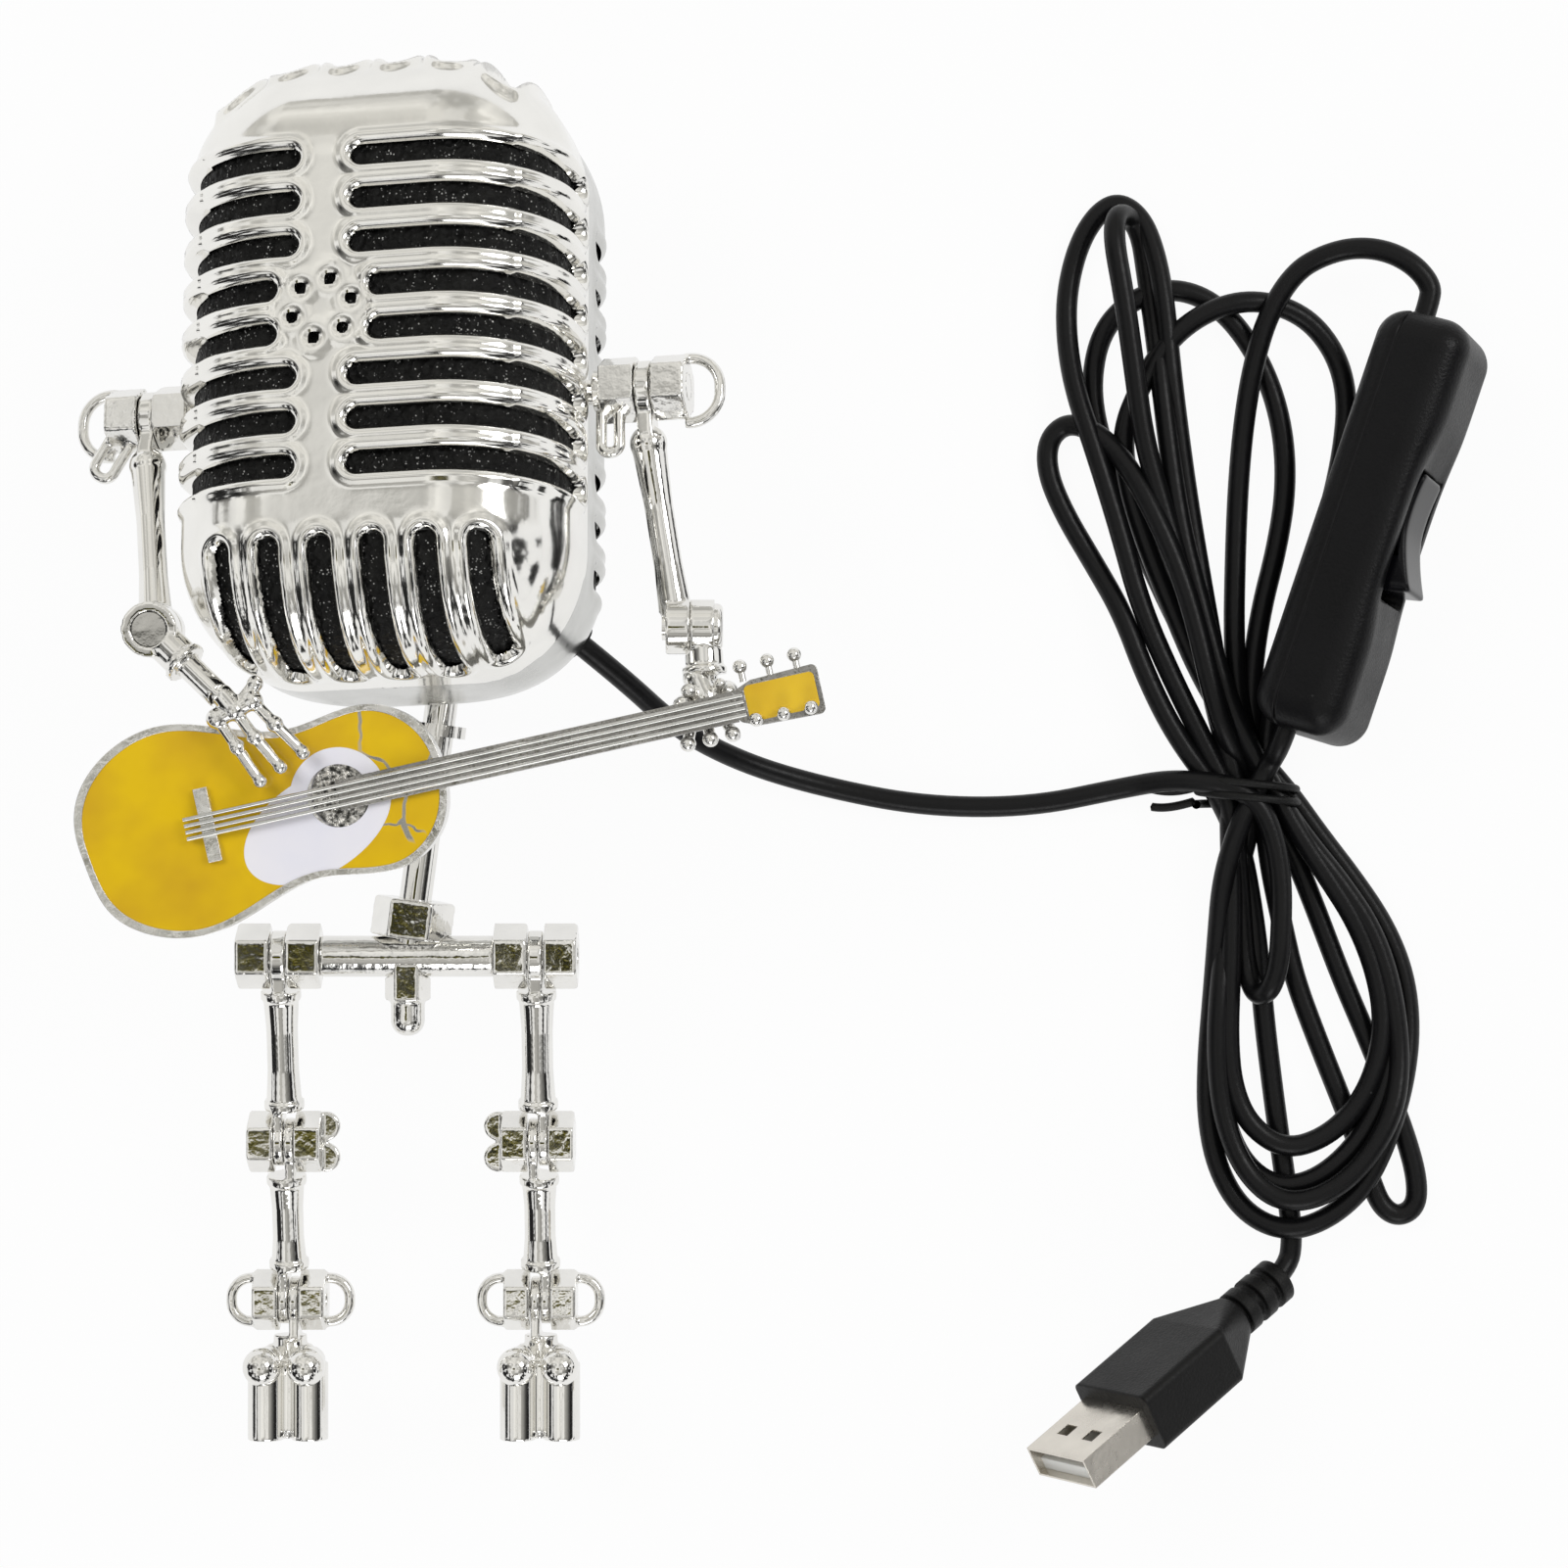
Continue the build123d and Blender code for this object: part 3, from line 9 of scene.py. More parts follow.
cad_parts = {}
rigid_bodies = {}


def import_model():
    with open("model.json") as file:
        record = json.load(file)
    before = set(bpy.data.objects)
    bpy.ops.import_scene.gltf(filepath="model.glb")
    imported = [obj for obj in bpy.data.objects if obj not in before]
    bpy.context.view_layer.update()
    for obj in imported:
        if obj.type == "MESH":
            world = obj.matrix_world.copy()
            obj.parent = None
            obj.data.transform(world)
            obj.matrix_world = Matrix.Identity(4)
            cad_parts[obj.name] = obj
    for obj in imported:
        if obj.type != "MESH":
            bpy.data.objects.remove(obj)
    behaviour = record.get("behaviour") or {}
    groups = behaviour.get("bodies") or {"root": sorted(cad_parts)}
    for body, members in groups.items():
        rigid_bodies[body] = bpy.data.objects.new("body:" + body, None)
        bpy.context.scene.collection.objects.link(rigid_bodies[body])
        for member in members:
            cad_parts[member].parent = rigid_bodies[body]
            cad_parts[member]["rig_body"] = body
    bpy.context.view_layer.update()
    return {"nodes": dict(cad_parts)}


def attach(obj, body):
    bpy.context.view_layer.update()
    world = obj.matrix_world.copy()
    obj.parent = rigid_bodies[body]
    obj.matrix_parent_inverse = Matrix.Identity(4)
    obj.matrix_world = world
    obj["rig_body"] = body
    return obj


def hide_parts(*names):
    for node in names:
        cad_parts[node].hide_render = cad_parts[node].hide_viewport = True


# Robot desk lamp lying beside its tied cord. Sizes are in millimetres, meshes in metres.
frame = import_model()
nodes = frame["nodes"]
mm = 0.001

camera = {"x": 44.96, "y": -2.83, "z": 533.0, "lens": 86.35, "sensor": 36.0, "nearest": 0.01, "farthest": 20}
cable = {
    "diameter": 3.0,
    "lengthToSwitch": 0.86,
    "lengthToPlug": 0.936,
    "gloss": 0.34,
    # from the head, small lower loop, tall upper loop, inner lower loop, narrow upper loop, middle lower loop, switch
    "toSwitch": [
        (14.6, 18.3, 21.8), (22.3, 12.2, 18.2), (30.2, 4.8, 11), (39.2, 0.1, 4.8), (50.7, -3.3, 1.8),
        (64.7, -6, 1.6), (79.7, -6.1, 1.7), (92.7, -3.4, 2.2), (98.5, -2.3, 5.2), (103.5, -2.5, 7.2),
        (108.1, -3.2, 7.8), (111.6, -5.8, 7.8), (113.6, -10.7, 7.6), (114.5, -16.4, 7.6), (114.4, -23.3, 7.8),
        (114, -28.5, 7.8), (112.8, -31.9, 7.4), (111.2, -32.6, 4.8), (110.1, -29, 2.4), (109.6, -22.1, 2.4),
        (108.9, -15.2, 3.4), (108.2, -9, 4.8), (106.8, -2.8, 4.8), (103.7, 3.4, 5.2), (99.2, 12.4, 5.4),
        (95, 22, 5.6), (92, 32.9, 5.8), (88.6, 44, 5.4), (85.9, 52.3, 4.4), (84.8, 59.3, 3), (84.8, 66.4, 2.2),
        (86.5, 73.3, 1.7), (89.2, 77.8, 1.6), (92.2, 79.4, 1.7), (95.4, 77.2, 1.9), (97.3, 72, 3),
        (98.5, 64.7, 4.2), (99.2, 56.4, 4.6), (100.4, 46.8, 4.2), (101.8, 37.2, 3.6), (103.4, 27.6, 3.4),
        (105.3, 16.5, 3.8), (106.8, 6.9, 4.4), (107.6, -2.8, 4.6), (107.7, -11, 4.4), (108, -20.7, 4.2),
        (107.7, -30.3, 4.2), (107.4, -38.6, 4.2), (108, -45.5, 4.2), (110.4, -50.9, 4.4), (115.3, -54.2, 4.8),
        (120.8, -52.6, 4.8), (125.4, -48.4, 4.8), (128.2, -42.7, 4.8), (129.3, -35.8, 4.4), (128.1, -28.9, 4.2),
        (125.3, -22, 4.4), (121.4, -16, 4.8), (117.5, -10.3, 5.2), (114.4, -4.8, 5.4), (110.3, 2, 5.6),
        (106.4, 11, 6), (103.4, 21.9, 6), (100.6, 32.9, 6), (99, 43.9, 5.6), (97.9, 53.6, 5.2), (97.1, 62.2, 2.6),
        (96.2, 69.2, 1.7), (95.4, 74.7, 1.7), (93.6, 77.4, 2.6), (91.4, 76.9, 6.6), (90.9, 73, 8.8),
        (92.3, 65.5, 8.8), (93.7, 56, 8.4), (95.2, 45.1, 7.8), (98.1, 35.6, 6.8), (101.4, 24.7, 6.4),
        (104, 15.1, 5.2), (105.9, 6.2, 5), (108.4, -2.1, 4.9), (109.2, -9.7, 3.2), (107.3, -19.3, 2.4),
        (106.3, -29, 1.8), (105.8, -38.7, 1.8), (106.6, -48.4, 1.8), (109.3, -56, 2.4), (114.2, -59.7, 3.8),
        (119.9, -58.5, 4.4), (125.4, -53.7, 4.4), (129.1, -46.8, 4.4), (130.9, -39.3, 3.6), (130.3, -30.4, 2.4),
        (127.6, -22.8, 2.2), (123.1, -16, 2.4), (118.4, -9.7, 2.6), (114.5, -4.1, 2.4), (110.9, 2.1, 2.6),
        (108.8, 9.7, 3), (108.4, 18, 2.6), (108.6, 27.6, 2.2), (109, 38.7, 2.2), (109.7, 48.3, 3.4),
        (110.9, 56.4, 5), (113, 63.4, 5.6), (116.5, 68.9, 6.2), (120.5, 71.2, 7), (124.8, 72.1, 8.2),
        (129, 71.4, 9.4), (132.6, 69.4, 9.9), (134.9, 66.6, 9.9), (134.8, 64.4, 9.9), (133.3, 60.1, 9.9)],
    # from the switch, outer lower loop, wide upper loop, second middle loop, right upper loop, small side loop,
    # left upper loop, plug
    "toPlug": [
        (115.3, 6.3, 9.9), (114, 2.5, 9.9), (112.9, 0, 6.6), (110.6, -4.4, 7), (108.2, -9.6, 7),
        (106.4, -16.5, 5.4), (106, -24.8, 3.2), (105.5, -33.2, 1.8), (104.8, -41.5, 1.6), (104.7, -49.8, 1.6),
        (106.2, -57.4, 1.7), (109.8, -63.3, 2.4), (115.3, -65.8, 4.6), (121.2, -64.1, 4.8), (126.6, -59.4, 4.8),
        (129.9, -52.3, 4.8), (132.3, -44.8, 3.4), (133.4, -37.3, 2), (132.6, -29.7, 1.7), (129.8, -22.8, 1.7),
        (125.4, -16.3, 1.9), (120.4, -9.9, 2.2), (115.9, -3.6, 2.4), (110.1, 2.8, 2.4), (105.2, 11.1, 2.2),
        (100.8, 19.4, 2), (96.3, 29, 1.9), (92.2, 38.7, 1.7), (89.2, 47.1, 1.6), (88.3, 54, 1.6), (89.7, 60.9, 1.6),
        (93.6, 65.3, 1.6), (99.1, 67.3, 1.6), (104.7, 65.9, 1.6), (109.4, 61.5, 1.6), (113.3, 54.8, 1.6),
        (115.5, 47.1, 1.6), (115.9, 38.8, 1.6), (114.6, 30.5, 1.6), (112.4, 22.1, 1.8), (111.1, 13.8, 2),
        (111, 5.5, 2), (112.1, -2.8, 1.9), (110.2, -11.1, 1.7), (107.7, -20.8, 1.6), (106.3, -30.3, 4.4),
        (105.7, -39.9, 4.6), (106.5, -49.5, 4.6), (109.5, -57.2, 5), (114.3, -61.5, 6.4), (120.5, -60.6, 7),
        (126.3, -55.9, 7), (130.4, -48.7, 6.6), (131.6, -41.3, 4.6), (130.5, -31.7, 4.6), (127.8, -23.4, 4.4),
        (123.1, -16.5, 4.6), (118.3, -10.7, 4.8), (113.6, -3.9, 5), (108.6, 4.1, 3.8), (103.6, 12.4, 3.4),
        (99.5, 22.1, 3.2), (95.6, 31.7, 4), (93.1, 39.9, 4.4), (92.5, 46.8, 4.2), (95, 53, 4), (98.6, 59.2, 4.4),
        (104.1, 63.6, 4.6), (110.9, 65.4, 4.6), (118, 63.5, 3), (122.6, 58.7, 1.8), (124.6, 52.3, 1.6),
        (124, 44.3, 1.6), (121.8, 34.6, 1.6), (118.8, 24.9, 1.6), (115.7, 15.2, 1.8), (113.5, 6.2, 3),
        (112.3, -2.8, 4.4), (113.2, -12.4, 1.8), (115.2, -22.1, 1.6), (117.1, -30.4, 1.6), (120.2, -38.7, 1.6),
        (123.5, -47, 1.6), (126, -53.4, 1.6), (127.8, -58.7, 1.6), (129.3, -62.5, 1.7), (131.7, -64, 1.9),
        (134.2, -62.5, 1.9), (134.4, -58.7, 1.7), (133, -53.3, 1.6), (130.7, -47, 1.6), (127.4, -38.7, 1.6),
        (123.8, -30.4, 1.6), (120.2, -20.8, 1.6), (116.6, -11.8, 1.7), (111.5, -3.6, 2), (106.6, 4.1, 6.8),
        (104.5, 10.9, 8), (102.6, 19.1, 8), (100.3, 26.6, 8), (97.7, 32.8, 8), (94.7, 38.9, 7.2), (91.6, 43.9, 5.6),
        (88.1, 47.1, 4.4), (84.7, 48.1, 2.4), (82.2, 45.7, 1.7), (82.1, 41.2, 1.7), (84.5, 35.4, 1.7),
        (88.6, 28.5, 1.8), (92.5, 21.2, 4.6), (95.7, 12.4, 5.2), (99.8, 4.1, 5.4), (105.4, -3.4, 5),
        (109.4, -11.1, 1.8), (111, -19.4, 1.6), (112.1, -27.7, 1.6), (112.8, -36, 1.6), (113.8, -44.3, 1.6),
        (114.9, -52.6, 1.6), (115.9, -59.5, 1.6), (116.8, -66.7, 1.8), (116.1, -71.4, 1.9), (112.1, -74.2, 4.7)],
}


class Socket:
    # A socket that sums and scales by adding Math nodes.

    def __init__(self, look, link):
        self.look, self.link = look, link

    def join(self, operation, first, second):
        made = self.look.node("ShaderNodeMath", {"operation": operation}, {0: first, 1: second})
        return self.look.out(made)

    def __add__(self, other):
        return self.join("ADD", self, other)

    def __sub__(self, other):
        return self.join("SUBTRACT", self, other)

    def __mul__(self, other):
        return self.join("MULTIPLY", self, other)

    def __rsub__(self, other):
        return self.join("SUBTRACT", other, self)

    __radd__ = __add__
    __rmul__ = __mul__


class Look:
    # A material or world whose nodes come from one method.

    def __init__(self, name, owner=None):
        self.owner = owner or bpy.data.materials.new(name)
        self.owner.use_nodes = True
        self.tree = self.owner.node_tree
        self.tree.nodes.clear()

    def node(self, kind, settings=None, values=None):
        made = self.tree.nodes.new(kind)
        for key, value in (settings or {}).items():
            setattr(made, key, value)
        for key, value in (values or {}).items():
            if isinstance(value, Socket):
                self.tree.links.new(value.link, made.inputs[key])
            else:
                made.inputs[key].default_value = value
        return made

    def out(self, made, name=0):
        return Socket(self, made.outputs[name])

    def place(self):
        return self.out(self.node("ShaderNodeTexCoord"), "Object")

    def noise(self, where, scale, detail=3.0, rough=0.5):
        values = {"Vector": where, "Scale": scale, "Detail": detail, "Roughness": rough}
        return self.out(self.node("ShaderNodeTexNoise", None, values))

    def cells(self, where, scale, feature="F1"):
        made = self.node("ShaderNodeTexVoronoi", {"feature": feature}, {"Vector": where, "Scale": scale})
        return self.out(made)

    def clamp(self, value, low, high, toLow=0.0, toHigh=1.0):
        return self.out(self.node("ShaderNodeMapRange", {"clamp": True}, {
            "Value": value, "From Min": low, "From Max": high, "To Min": toLow, "To Max": toHigh}))

    def specks(self, where, scale, size, spread, low, high, detail=2, rough=0.5):
        # Spots in the middle of small cells, only where a slower noise lets them show.
        spots = self.clamp(self.cells(where, scale), 0.0, size, 1.0, 0.0)
        return spots * self.clamp(self.noise(where, spread, detail, rough), low, high)

    def blend(self, factor, first, second):
        made = self.node("ShaderNodeMix", {"data_type": "RGBA"}, {0: factor, 6: first, 7: second})
        return self.out(made, 2)

    def bump(self, height, strength, distance, under=None):
        values = {"Height": height, "Strength": strength, "Distance": distance}
        if under:
            values["Normal"] = under
        return self.out(self.node("ShaderNodeBump", None, values))

    def softEdges(self, radius):
        return self.out(self.node("ShaderNodeBevel", {"samples": 6}, {"Radius": radius}))

    def surface(self, **values):
        names = {key.replace("_", " "): value for key, value in values.items()}
        shader = self.node("ShaderNodeBsdfPrincipled", None, names)
        self.node("ShaderNodeOutputMaterial", None, {"Surface": self.out(shader)})
        return self.owner


def grey(value):
    return (value, value, value, 1)


# noise scales in cells a metre, heights of bumps in metres
plated = {"cloud": 160, "fine": 900, "dents": 210, "deep": 0.0006}
moulded = {"cloud": 120, "fine": 2600, "deep": 0.0002, "dust": 0.2, "specks": (420, 0.09, 90, 0.58, 0.7)}


def metal(name, tint, rough, dents, edge=0.25, stain=0.12, grain=0.0):
    # Plated cast metal: soft dents, cloudy roughness and rounded edges.
    look = Look(name)
    where = look.place()
    cloud = look.noise(where, plated["cloud"], 3)
    fine = look.noise(where, plated["fine"], 2)
    colour = look.blend(look.clamp(cloud, 0.35, 0.72), (*tint, 1), (*[c * (1 - stain) for c in tint], 1))
    roughness = look.clamp(cloud * 0.7 + fine * 0.3, 0.3, 0.75, rough * 0.6, rough * 1.6)
    height = look.noise(where, plated["dents"], 2) * 0.8 + fine * (0.2 + grain)
    normal = look.bump(height, dents, plated["deep"], look.softEdges(edge * mm) if edge else None)
    return look.surface(Base_Color=colour, Metallic=1.0, Roughness=roughness, Normal=normal)


def plastic(name, tint, rough, grain, edge=0.3, dust=0.0, shine=0.5):
    # Moulded plastic with a fine spark-eroded grain and a few pale dust specks.
    look = Look(name)
    where = look.place()
    fine = look.noise(where, moulded["fine"], 2)
    cloud = look.noise(where, moulded["cloud"], 3)
    colour = look.blend(look.clamp(cloud, 0.3, 0.8), (*tint, 1), (*[c * 1.35 for c in tint], 1))
    if dust:
        colour = look.blend(look.specks(where, *moulded["specks"]) * dust, colour, grey(moulded["dust"]))
    roughness = look.clamp(cloud * 0.6 + fine * 0.4, 0.3, 0.7, rough * 0.85, rough * 1.2)
    normal = look.bump(fine, grain, moulded["deep"], look.softEdges(edge * mm) if edge else None)
    return look.surface(Base_Color=colour, Roughness=roughness, Normal=normal, Specular_IOR_Level=shine)


chrome = metal("brightChrome", (0.88, 0.87, 0.84), 0.07, 0.12, stain=0.06, grain=0.2)
castChrome = metal("castChrome", (0.9, 0.89, 0.855), 0.1, 0.05, edge=0, stain=0.05)
# satin roughness for the rear shell, with its tint lowered to paint the shade on its downward side; the guitar strings
# share it
satinChromePaintedShade = metal("satinChromePaintedShade", (0.63, 0.63, 0.61), 0.2, 0.06, edge=0, stain=0.06)
roundChrome = metal("roundChrome", (0.88, 0.87, 0.84), 0.06, 0.06, edge=0, stain=0.06)
castNut = metal("castNut", (0.88, 0.87, 0.84), 0.09, 0.16, edge=0, stain=0.08, grain=0.3)
neckCast = metal("neckCast", (0.42, 0.41, 0.39), 0.2, 0.5, edge=0.2, stain=0.4, grain=0.5)
steel = metal("screwSteel", (0.6, 0.6, 0.6), 0.25, 0.1)
nickel = metal("warmNickel", (0.74, 0.7, 0.63), 0.24, 0.12, edge=0.15)
blackPlastic = plastic("blackPlastic", (0.003, 0.003, 0.0035), 0.38, 0.3, edge=0, dust=0.8, shine=0.2)
glossPlastic = plastic("glossPlastic", (0.003, 0.003, 0.004), 0.14, 0.05, edge=0.5, shine=0.18)
softBlack = plastic("softBlack", (0.004, 0.004, 0.004), 0.45, 0.3, edge=0.6, dust=0.3, shine=0.25)
tongueWhite = plastic("tongueWhite", (0.75, 0.75, 0.72), 0.4, 0.1)
boardWhite = plastic("boardWhite", (0.55, 0.56, 0.54), 0.4, 0.1)
chipYellow = plastic("chipYellow", (0.7, 0.6, 0.25), 0.35, 0.05)


def frostedLook():
    look = Look("frostedDiffuser")
    where = look.place()
    colour = look.blend(look.noise(where, 80, 2), (0.82, 0.8, 0.72, 1), (0.9, 0.88, 0.82, 1))
    return look.surface(Base_Color=colour, Roughness=0.45, Normal=look.bump(look.noise(where, 700, 2), 0.1, 0.0002))


def cableLook():
    # Matte jacket with a fine extruded grain and a few specks of dust.
    look = Look("cableJacket")
    where = look.place()
    fine = look.noise(where, 1400, 3)
    speck = look.specks(where, 300, 0.06, 60, 0.6, 0.72)
    colour = look.blend(look.noise(where, 60, 2), (0.003, 0.003, 0.0035, 1), (0.006, 0.006, 0.0065, 1))
    colour = look.blend(speck * 0.5, colour, grey(0.25))
    rough = look.clamp(fine, 0.3, 0.7, cable["gloss"] * 0.85, cable["gloss"] * 1.15)
    normal = look.bump(fine, 0.12, 0.0002)
    return look.surface(Base_Color=colour, Roughness=rough, Normal=normal, Specular_IOR_Level=0.22)


def foamLook():
    # Black granular foam: cells of many sizes with bright mineral sparks on some of them.
    look = Look("sparklingFoam")
    where = look.place()
    grains = look.cells(where, 1100)
    big = look.noise(where, 420, 4, 0.7)
    spark = look.specks(where, 2300, 0.34, 900, 0.53, 0.58, 3, 0.7)
    colour = look.blend(look.clamp(big, 0.35, 0.7), (0.002, 0.002, 0.002, 1), (0.012, 0.012, 0.011, 1))
    colour = look.blend(spark, colour, (0.85, 0.85, 0.82, 1))
    rough = look.clamp(spark, 0.0, 1.0, 0.55, 0.25)
    normal = look.bump(grains * 0.6 + big, 0.9, 0.0008)
    return look.surface(Base_Color=colour, Roughness=rough, Metallic=spark * 0.8, Normal=normal, Specular_IOR_Level=0.2)


guitar = {
    "x": -46.34, "y": -11.83, "turn": 12.6,
    "hole": (-11.65, -4.04, 4.8),  # middle and radius of the sound hole
    "cracksFrom": 37.5,  # the enamel's cracks begin this far along the guitar
    "yellow": (0.87, 0.57, 0.008), "white": (0.97, 0.95, 0.99),
}
guitarTurn = math.radians(guitar["turn"])


def enamelLook(name, tint, cracks, deep=(0.8, 0.72, 0.7)):
    # Poured enamel, cloudy and glossy, with fine silver cracks in the upper bout.
    look = Look(name)
    where = look.place()
    cloud = look.noise(where, 90, 3)
    dark = (tint[0] * deep[0], tint[1] * deep[1], tint[2] * deep[2], 1)
    colour = look.blend(look.clamp(cloud, 0.35, 0.7), (*tint, 1), dark)
    shine = None
    if cracks:
        wave = look.node("ShaderNodeVectorMath", {"operation": "SCALE"}, {0: look.noise(where, 220, 2), "Scale": 0.004})
        bent = look.node("ShaderNodeVectorMath", {"operation": "ADD"}, {0: where, 1: look.out(wave)})
        line = look.clamp(look.cells(look.out(bent), 95, "DISTANCE_TO_EDGE"), 0.012, 0.022, 1.0, 0.0)
        split = look.node("ShaderNodeSeparateXYZ", None, {0: where})
        cos, sin = math.cos(guitarTurn), math.sin(guitarTurn)
        across = look.out(split, 0) * cos + look.out(split, 1) * sin
        start = (guitar["x"] * cos + guitar["y"] * sin + guitar["cracksFrom"]) * mm
        shine = line * look.clamp(across, start, start + 0.002) * look.clamp(look.noise(where, 150, 2), 0.42, 0.5)
        colour = look.blend(shine, colour, (0.75, 0.75, 0.72, 1))
    return look.surface(Base_Color=colour, Roughness=look.clamp(cloud, 0.3, 0.7, 0.14, 0.26),
                        Metallic=shine if shine else 0.0, Coat_Weight=0.4, Coat_Roughness=0.08,
                        Normal=look.bump(cloud * 0.5, 0.12, 0.0006, look.softEdges(0.1 * mm)))


def guitarLook():
    # Bright casting whose sound hole is darker and coarsely grained.
    look = Look("guitarCast")
    where = look.place()
    split = look.node("ShaderNodeSeparateXYZ", None, {0: where})
    x0, y0, radius = [value * mm for value in guitar["hole"]]
    east, north = look.out(split, 0) - x0, look.out(split, 1) - y0
    hole = look.clamp(east * east + north * north, (radius * 0.97) ** 2, (radius * 1.02) ** 2, 1.0, 0.0)
    grain = look.noise(where, 1500, 3, 0.6)
    deep = look.blend(look.clamp(grain, 0.4, 0.6), (0.05, 0.05, 0.045, 1), (0.85, 0.83, 0.78, 1))
    colour = look.blend(hole, look.blend(look.noise(where, 160, 3), (0.93, 0.92, 0.89, 1), (0.82, 0.81, 0.78, 1)), deep)
    height = look.noise(where, 500, 3) * 0.5 + grain * hole * 1.6
    rough = look.clamp(look.noise(where, 300, 2), 0.3, 0.7, 0.16, 0.3)
    return look.surface(Base_Color=colour, Metallic=1.0, Roughness=rough,
                        Normal=look.bump(height, 0.6, 0.0005, look.softEdges(0.15 * mm)))


guitarCast = guitarLook()
foam, jacket, frosted = foamLook(), cableLook(), frostedLook()
yellowEnamel = enamelLook("yellowEnamel", guitar["yellow"], True)
whiteEnamel = enamelLook("whiteEnamel", guitar["white"], False, (0.93, 0.94, 0.98))
plainYellow = enamelLook("headstockEnamel", guitar["yellow"], False)


def makeCamera():
    data = bpy.data.cameras.new("viewCamera")
    data.lens, data.sensor_width = camera["lens"], camera["sensor"]
    data.clip_start, data.clip_end = camera["nearest"], camera["farthest"]
    made = bpy.data.objects.new("viewCamera", data)
    made.location = (camera["x"] * mm, camera["y"] * mm, camera["z"] * mm)
    bpy.context.collection.objects.link(made)
    bpy.context.scene.camera = made


def makeStage():
    # White floor that shows its own colour to the camera and in reflections, and keeps some of the shadow.
    look = Look("paleFloor")
    path = look.node("ShaderNodeLightPath")
    seen = look.out(path, "Is Camera Ray") + look.out(path, "Is Glossy Ray") * 0.85
    seen = seen + look.out(path, "Is Transmission Ray")
    plain = look.out(look.node("ShaderNodeBsdfDiffuse", None, {"Color": grey(0.8)}))
    white = look.out(look.node("ShaderNodeEmission", None, {"Color": grey(1.0), "Strength": 1.0}))
    mixed = look.out(look.node("ShaderNodeMixShader", None, {0: look.clamp(seen, 0, 1, 0, 0.95), 1: plain, 2: white}))
    look.node("ShaderNodeOutputMaterial", None, {"Surface": mixed})
    half = 1.2
    mesh = bpy.data.meshes.new("floor")
    mesh.from_pydata([(-half, -half, 0), (half, -half, 0), (half, half, 0), (-half, half, 0)], [], [(0, 1, 2, 3)])
    mesh.materials.append(look.owner)
    floor = bpy.data.objects.new("floor", mesh)
    bpy.context.collection.objects.link(floor)


lights = {
    "world": 0.5, "mirrored": 0.42,  # strength of the room's light, and what reflections add to it
    "gaps": 3.4, "clouds": 2.2, "spots": 14,  # noise scales of the dark gaps, the pale clouds and the olive patch
    # where the olive patch overhead fades in and out, as parts of the way up, north and east
    "up": (0.955, 0.968), "south": (-0.124, -0.118), "north": (0.02, 0.04), "east": (-0.02, 0.0),
    "boxes": [  # name, place in metres, size, watts, seen in reflections
        ("overLeft", (-0.45, 0.35, 0.75), 0.4, 2.6, False),
        ("overRight", (0.6, 0.3, 0.7), 0.35, 2.0, True),
        ("front", (0.1, -0.75, 0.5), 0.4, 1.4, True),
    ],
}


def makeLights():
    # Pale room with dark gaps low down, so that bright metal has something to show, and three soft boxes.
    world = bpy.data.worlds.new("softRoom")
    bpy.context.scene.world = world
    look = Look("softRoom", world)
    way = look.out(look.node("ShaderNodeTexCoord"), "Generated")
    split = look.node("ShaderNodeSeparateXYZ", None, {0: way})
    patch = look.noise(way, lights["gaps"], 3, 0.55)
    gap = look.clamp(patch, 0.5, 0.55)
    room = look.blend(gap, grey(0.02), grey(1.0))
    # straight above it is pale, lower down the dark gaps show
    height = look.clamp(look.out(split, 2), 0.55, 0.93, 0.0, 0.6)
    clouds = look.clamp(look.noise(way, lights["clouds"], 2), 0.4, 0.62)
    pale = look.blend(clouds, (0.62, 0.61, 0.575, 1), (1.08, 1.06, 1.0, 1))
    height = height.join("MAXIMUM", height, look.clamp(look.out(split, 1), 0.2, 0.5, 0.0, 0.8))
    shine = look.blend(height, room, pale)
    # a dark olive patch almost straight above blackens the flats of the hip and knee nuts
    north = look.out(split, 1)
    overhead = look.clamp(look.out(split, 2), *lights["up"]) * look.clamp(north, *lights["south"])
    overhead = overhead * look.clamp(north, *lights["north"], 1.0, 0.0)
    overhead = overhead * look.clamp(look.out(split, 0), *lights["east"], 1.0, 0.0)
    spots = look.clamp(look.noise(way, lights["spots"], 2), 0.45, 0.6)
    olive = look.blend(spots, (0.015, 0.015, 0.008, 1), (0.16, 0.14, 0.012, 1))
    shine = look.blend(overhead, shine, olive)
    path = look.node("ShaderNodeLightPath")
    sky = look.blend(look.out(path, "Is Glossy Ray"), grey(0.8), shine)
    shown = look.blend(look.out(path, "Is Camera Ray"), sky, grey(1.0))
    strength = look.out(path, "Is Camera Ray") * (1 - lights["world"]) + lights["world"]
    strength = strength + look.out(path, "Is Glossy Ray") * lights["mirrored"]
    back = look.out(look.node("ShaderNodeBackground", None, {"Color": shown, "Strength": strength}))
    look.node("ShaderNodeOutputWorld", None, {"Surface": back})
    for name, place, size, watts, mirrored in lights["boxes"]:
        data = bpy.data.lights.new(name, "AREA")
        data.size, data.energy = size, watts
        made = bpy.data.objects.new(name, data)
        made.location = place
        made.visible_glossy = mirrored
        made.rotation_euler = (Vector((0.03, 0, 0.02)) - Vector(place)).to_track_quat("-Z", "Y").to_euler()
        bpy.context.collection.objects.link(made)


makeCamera()
makeStage()
makeLights()
scene = bpy.context.scene
scene.view_settings.view_transform = "Standard"
print("stage and camera done")


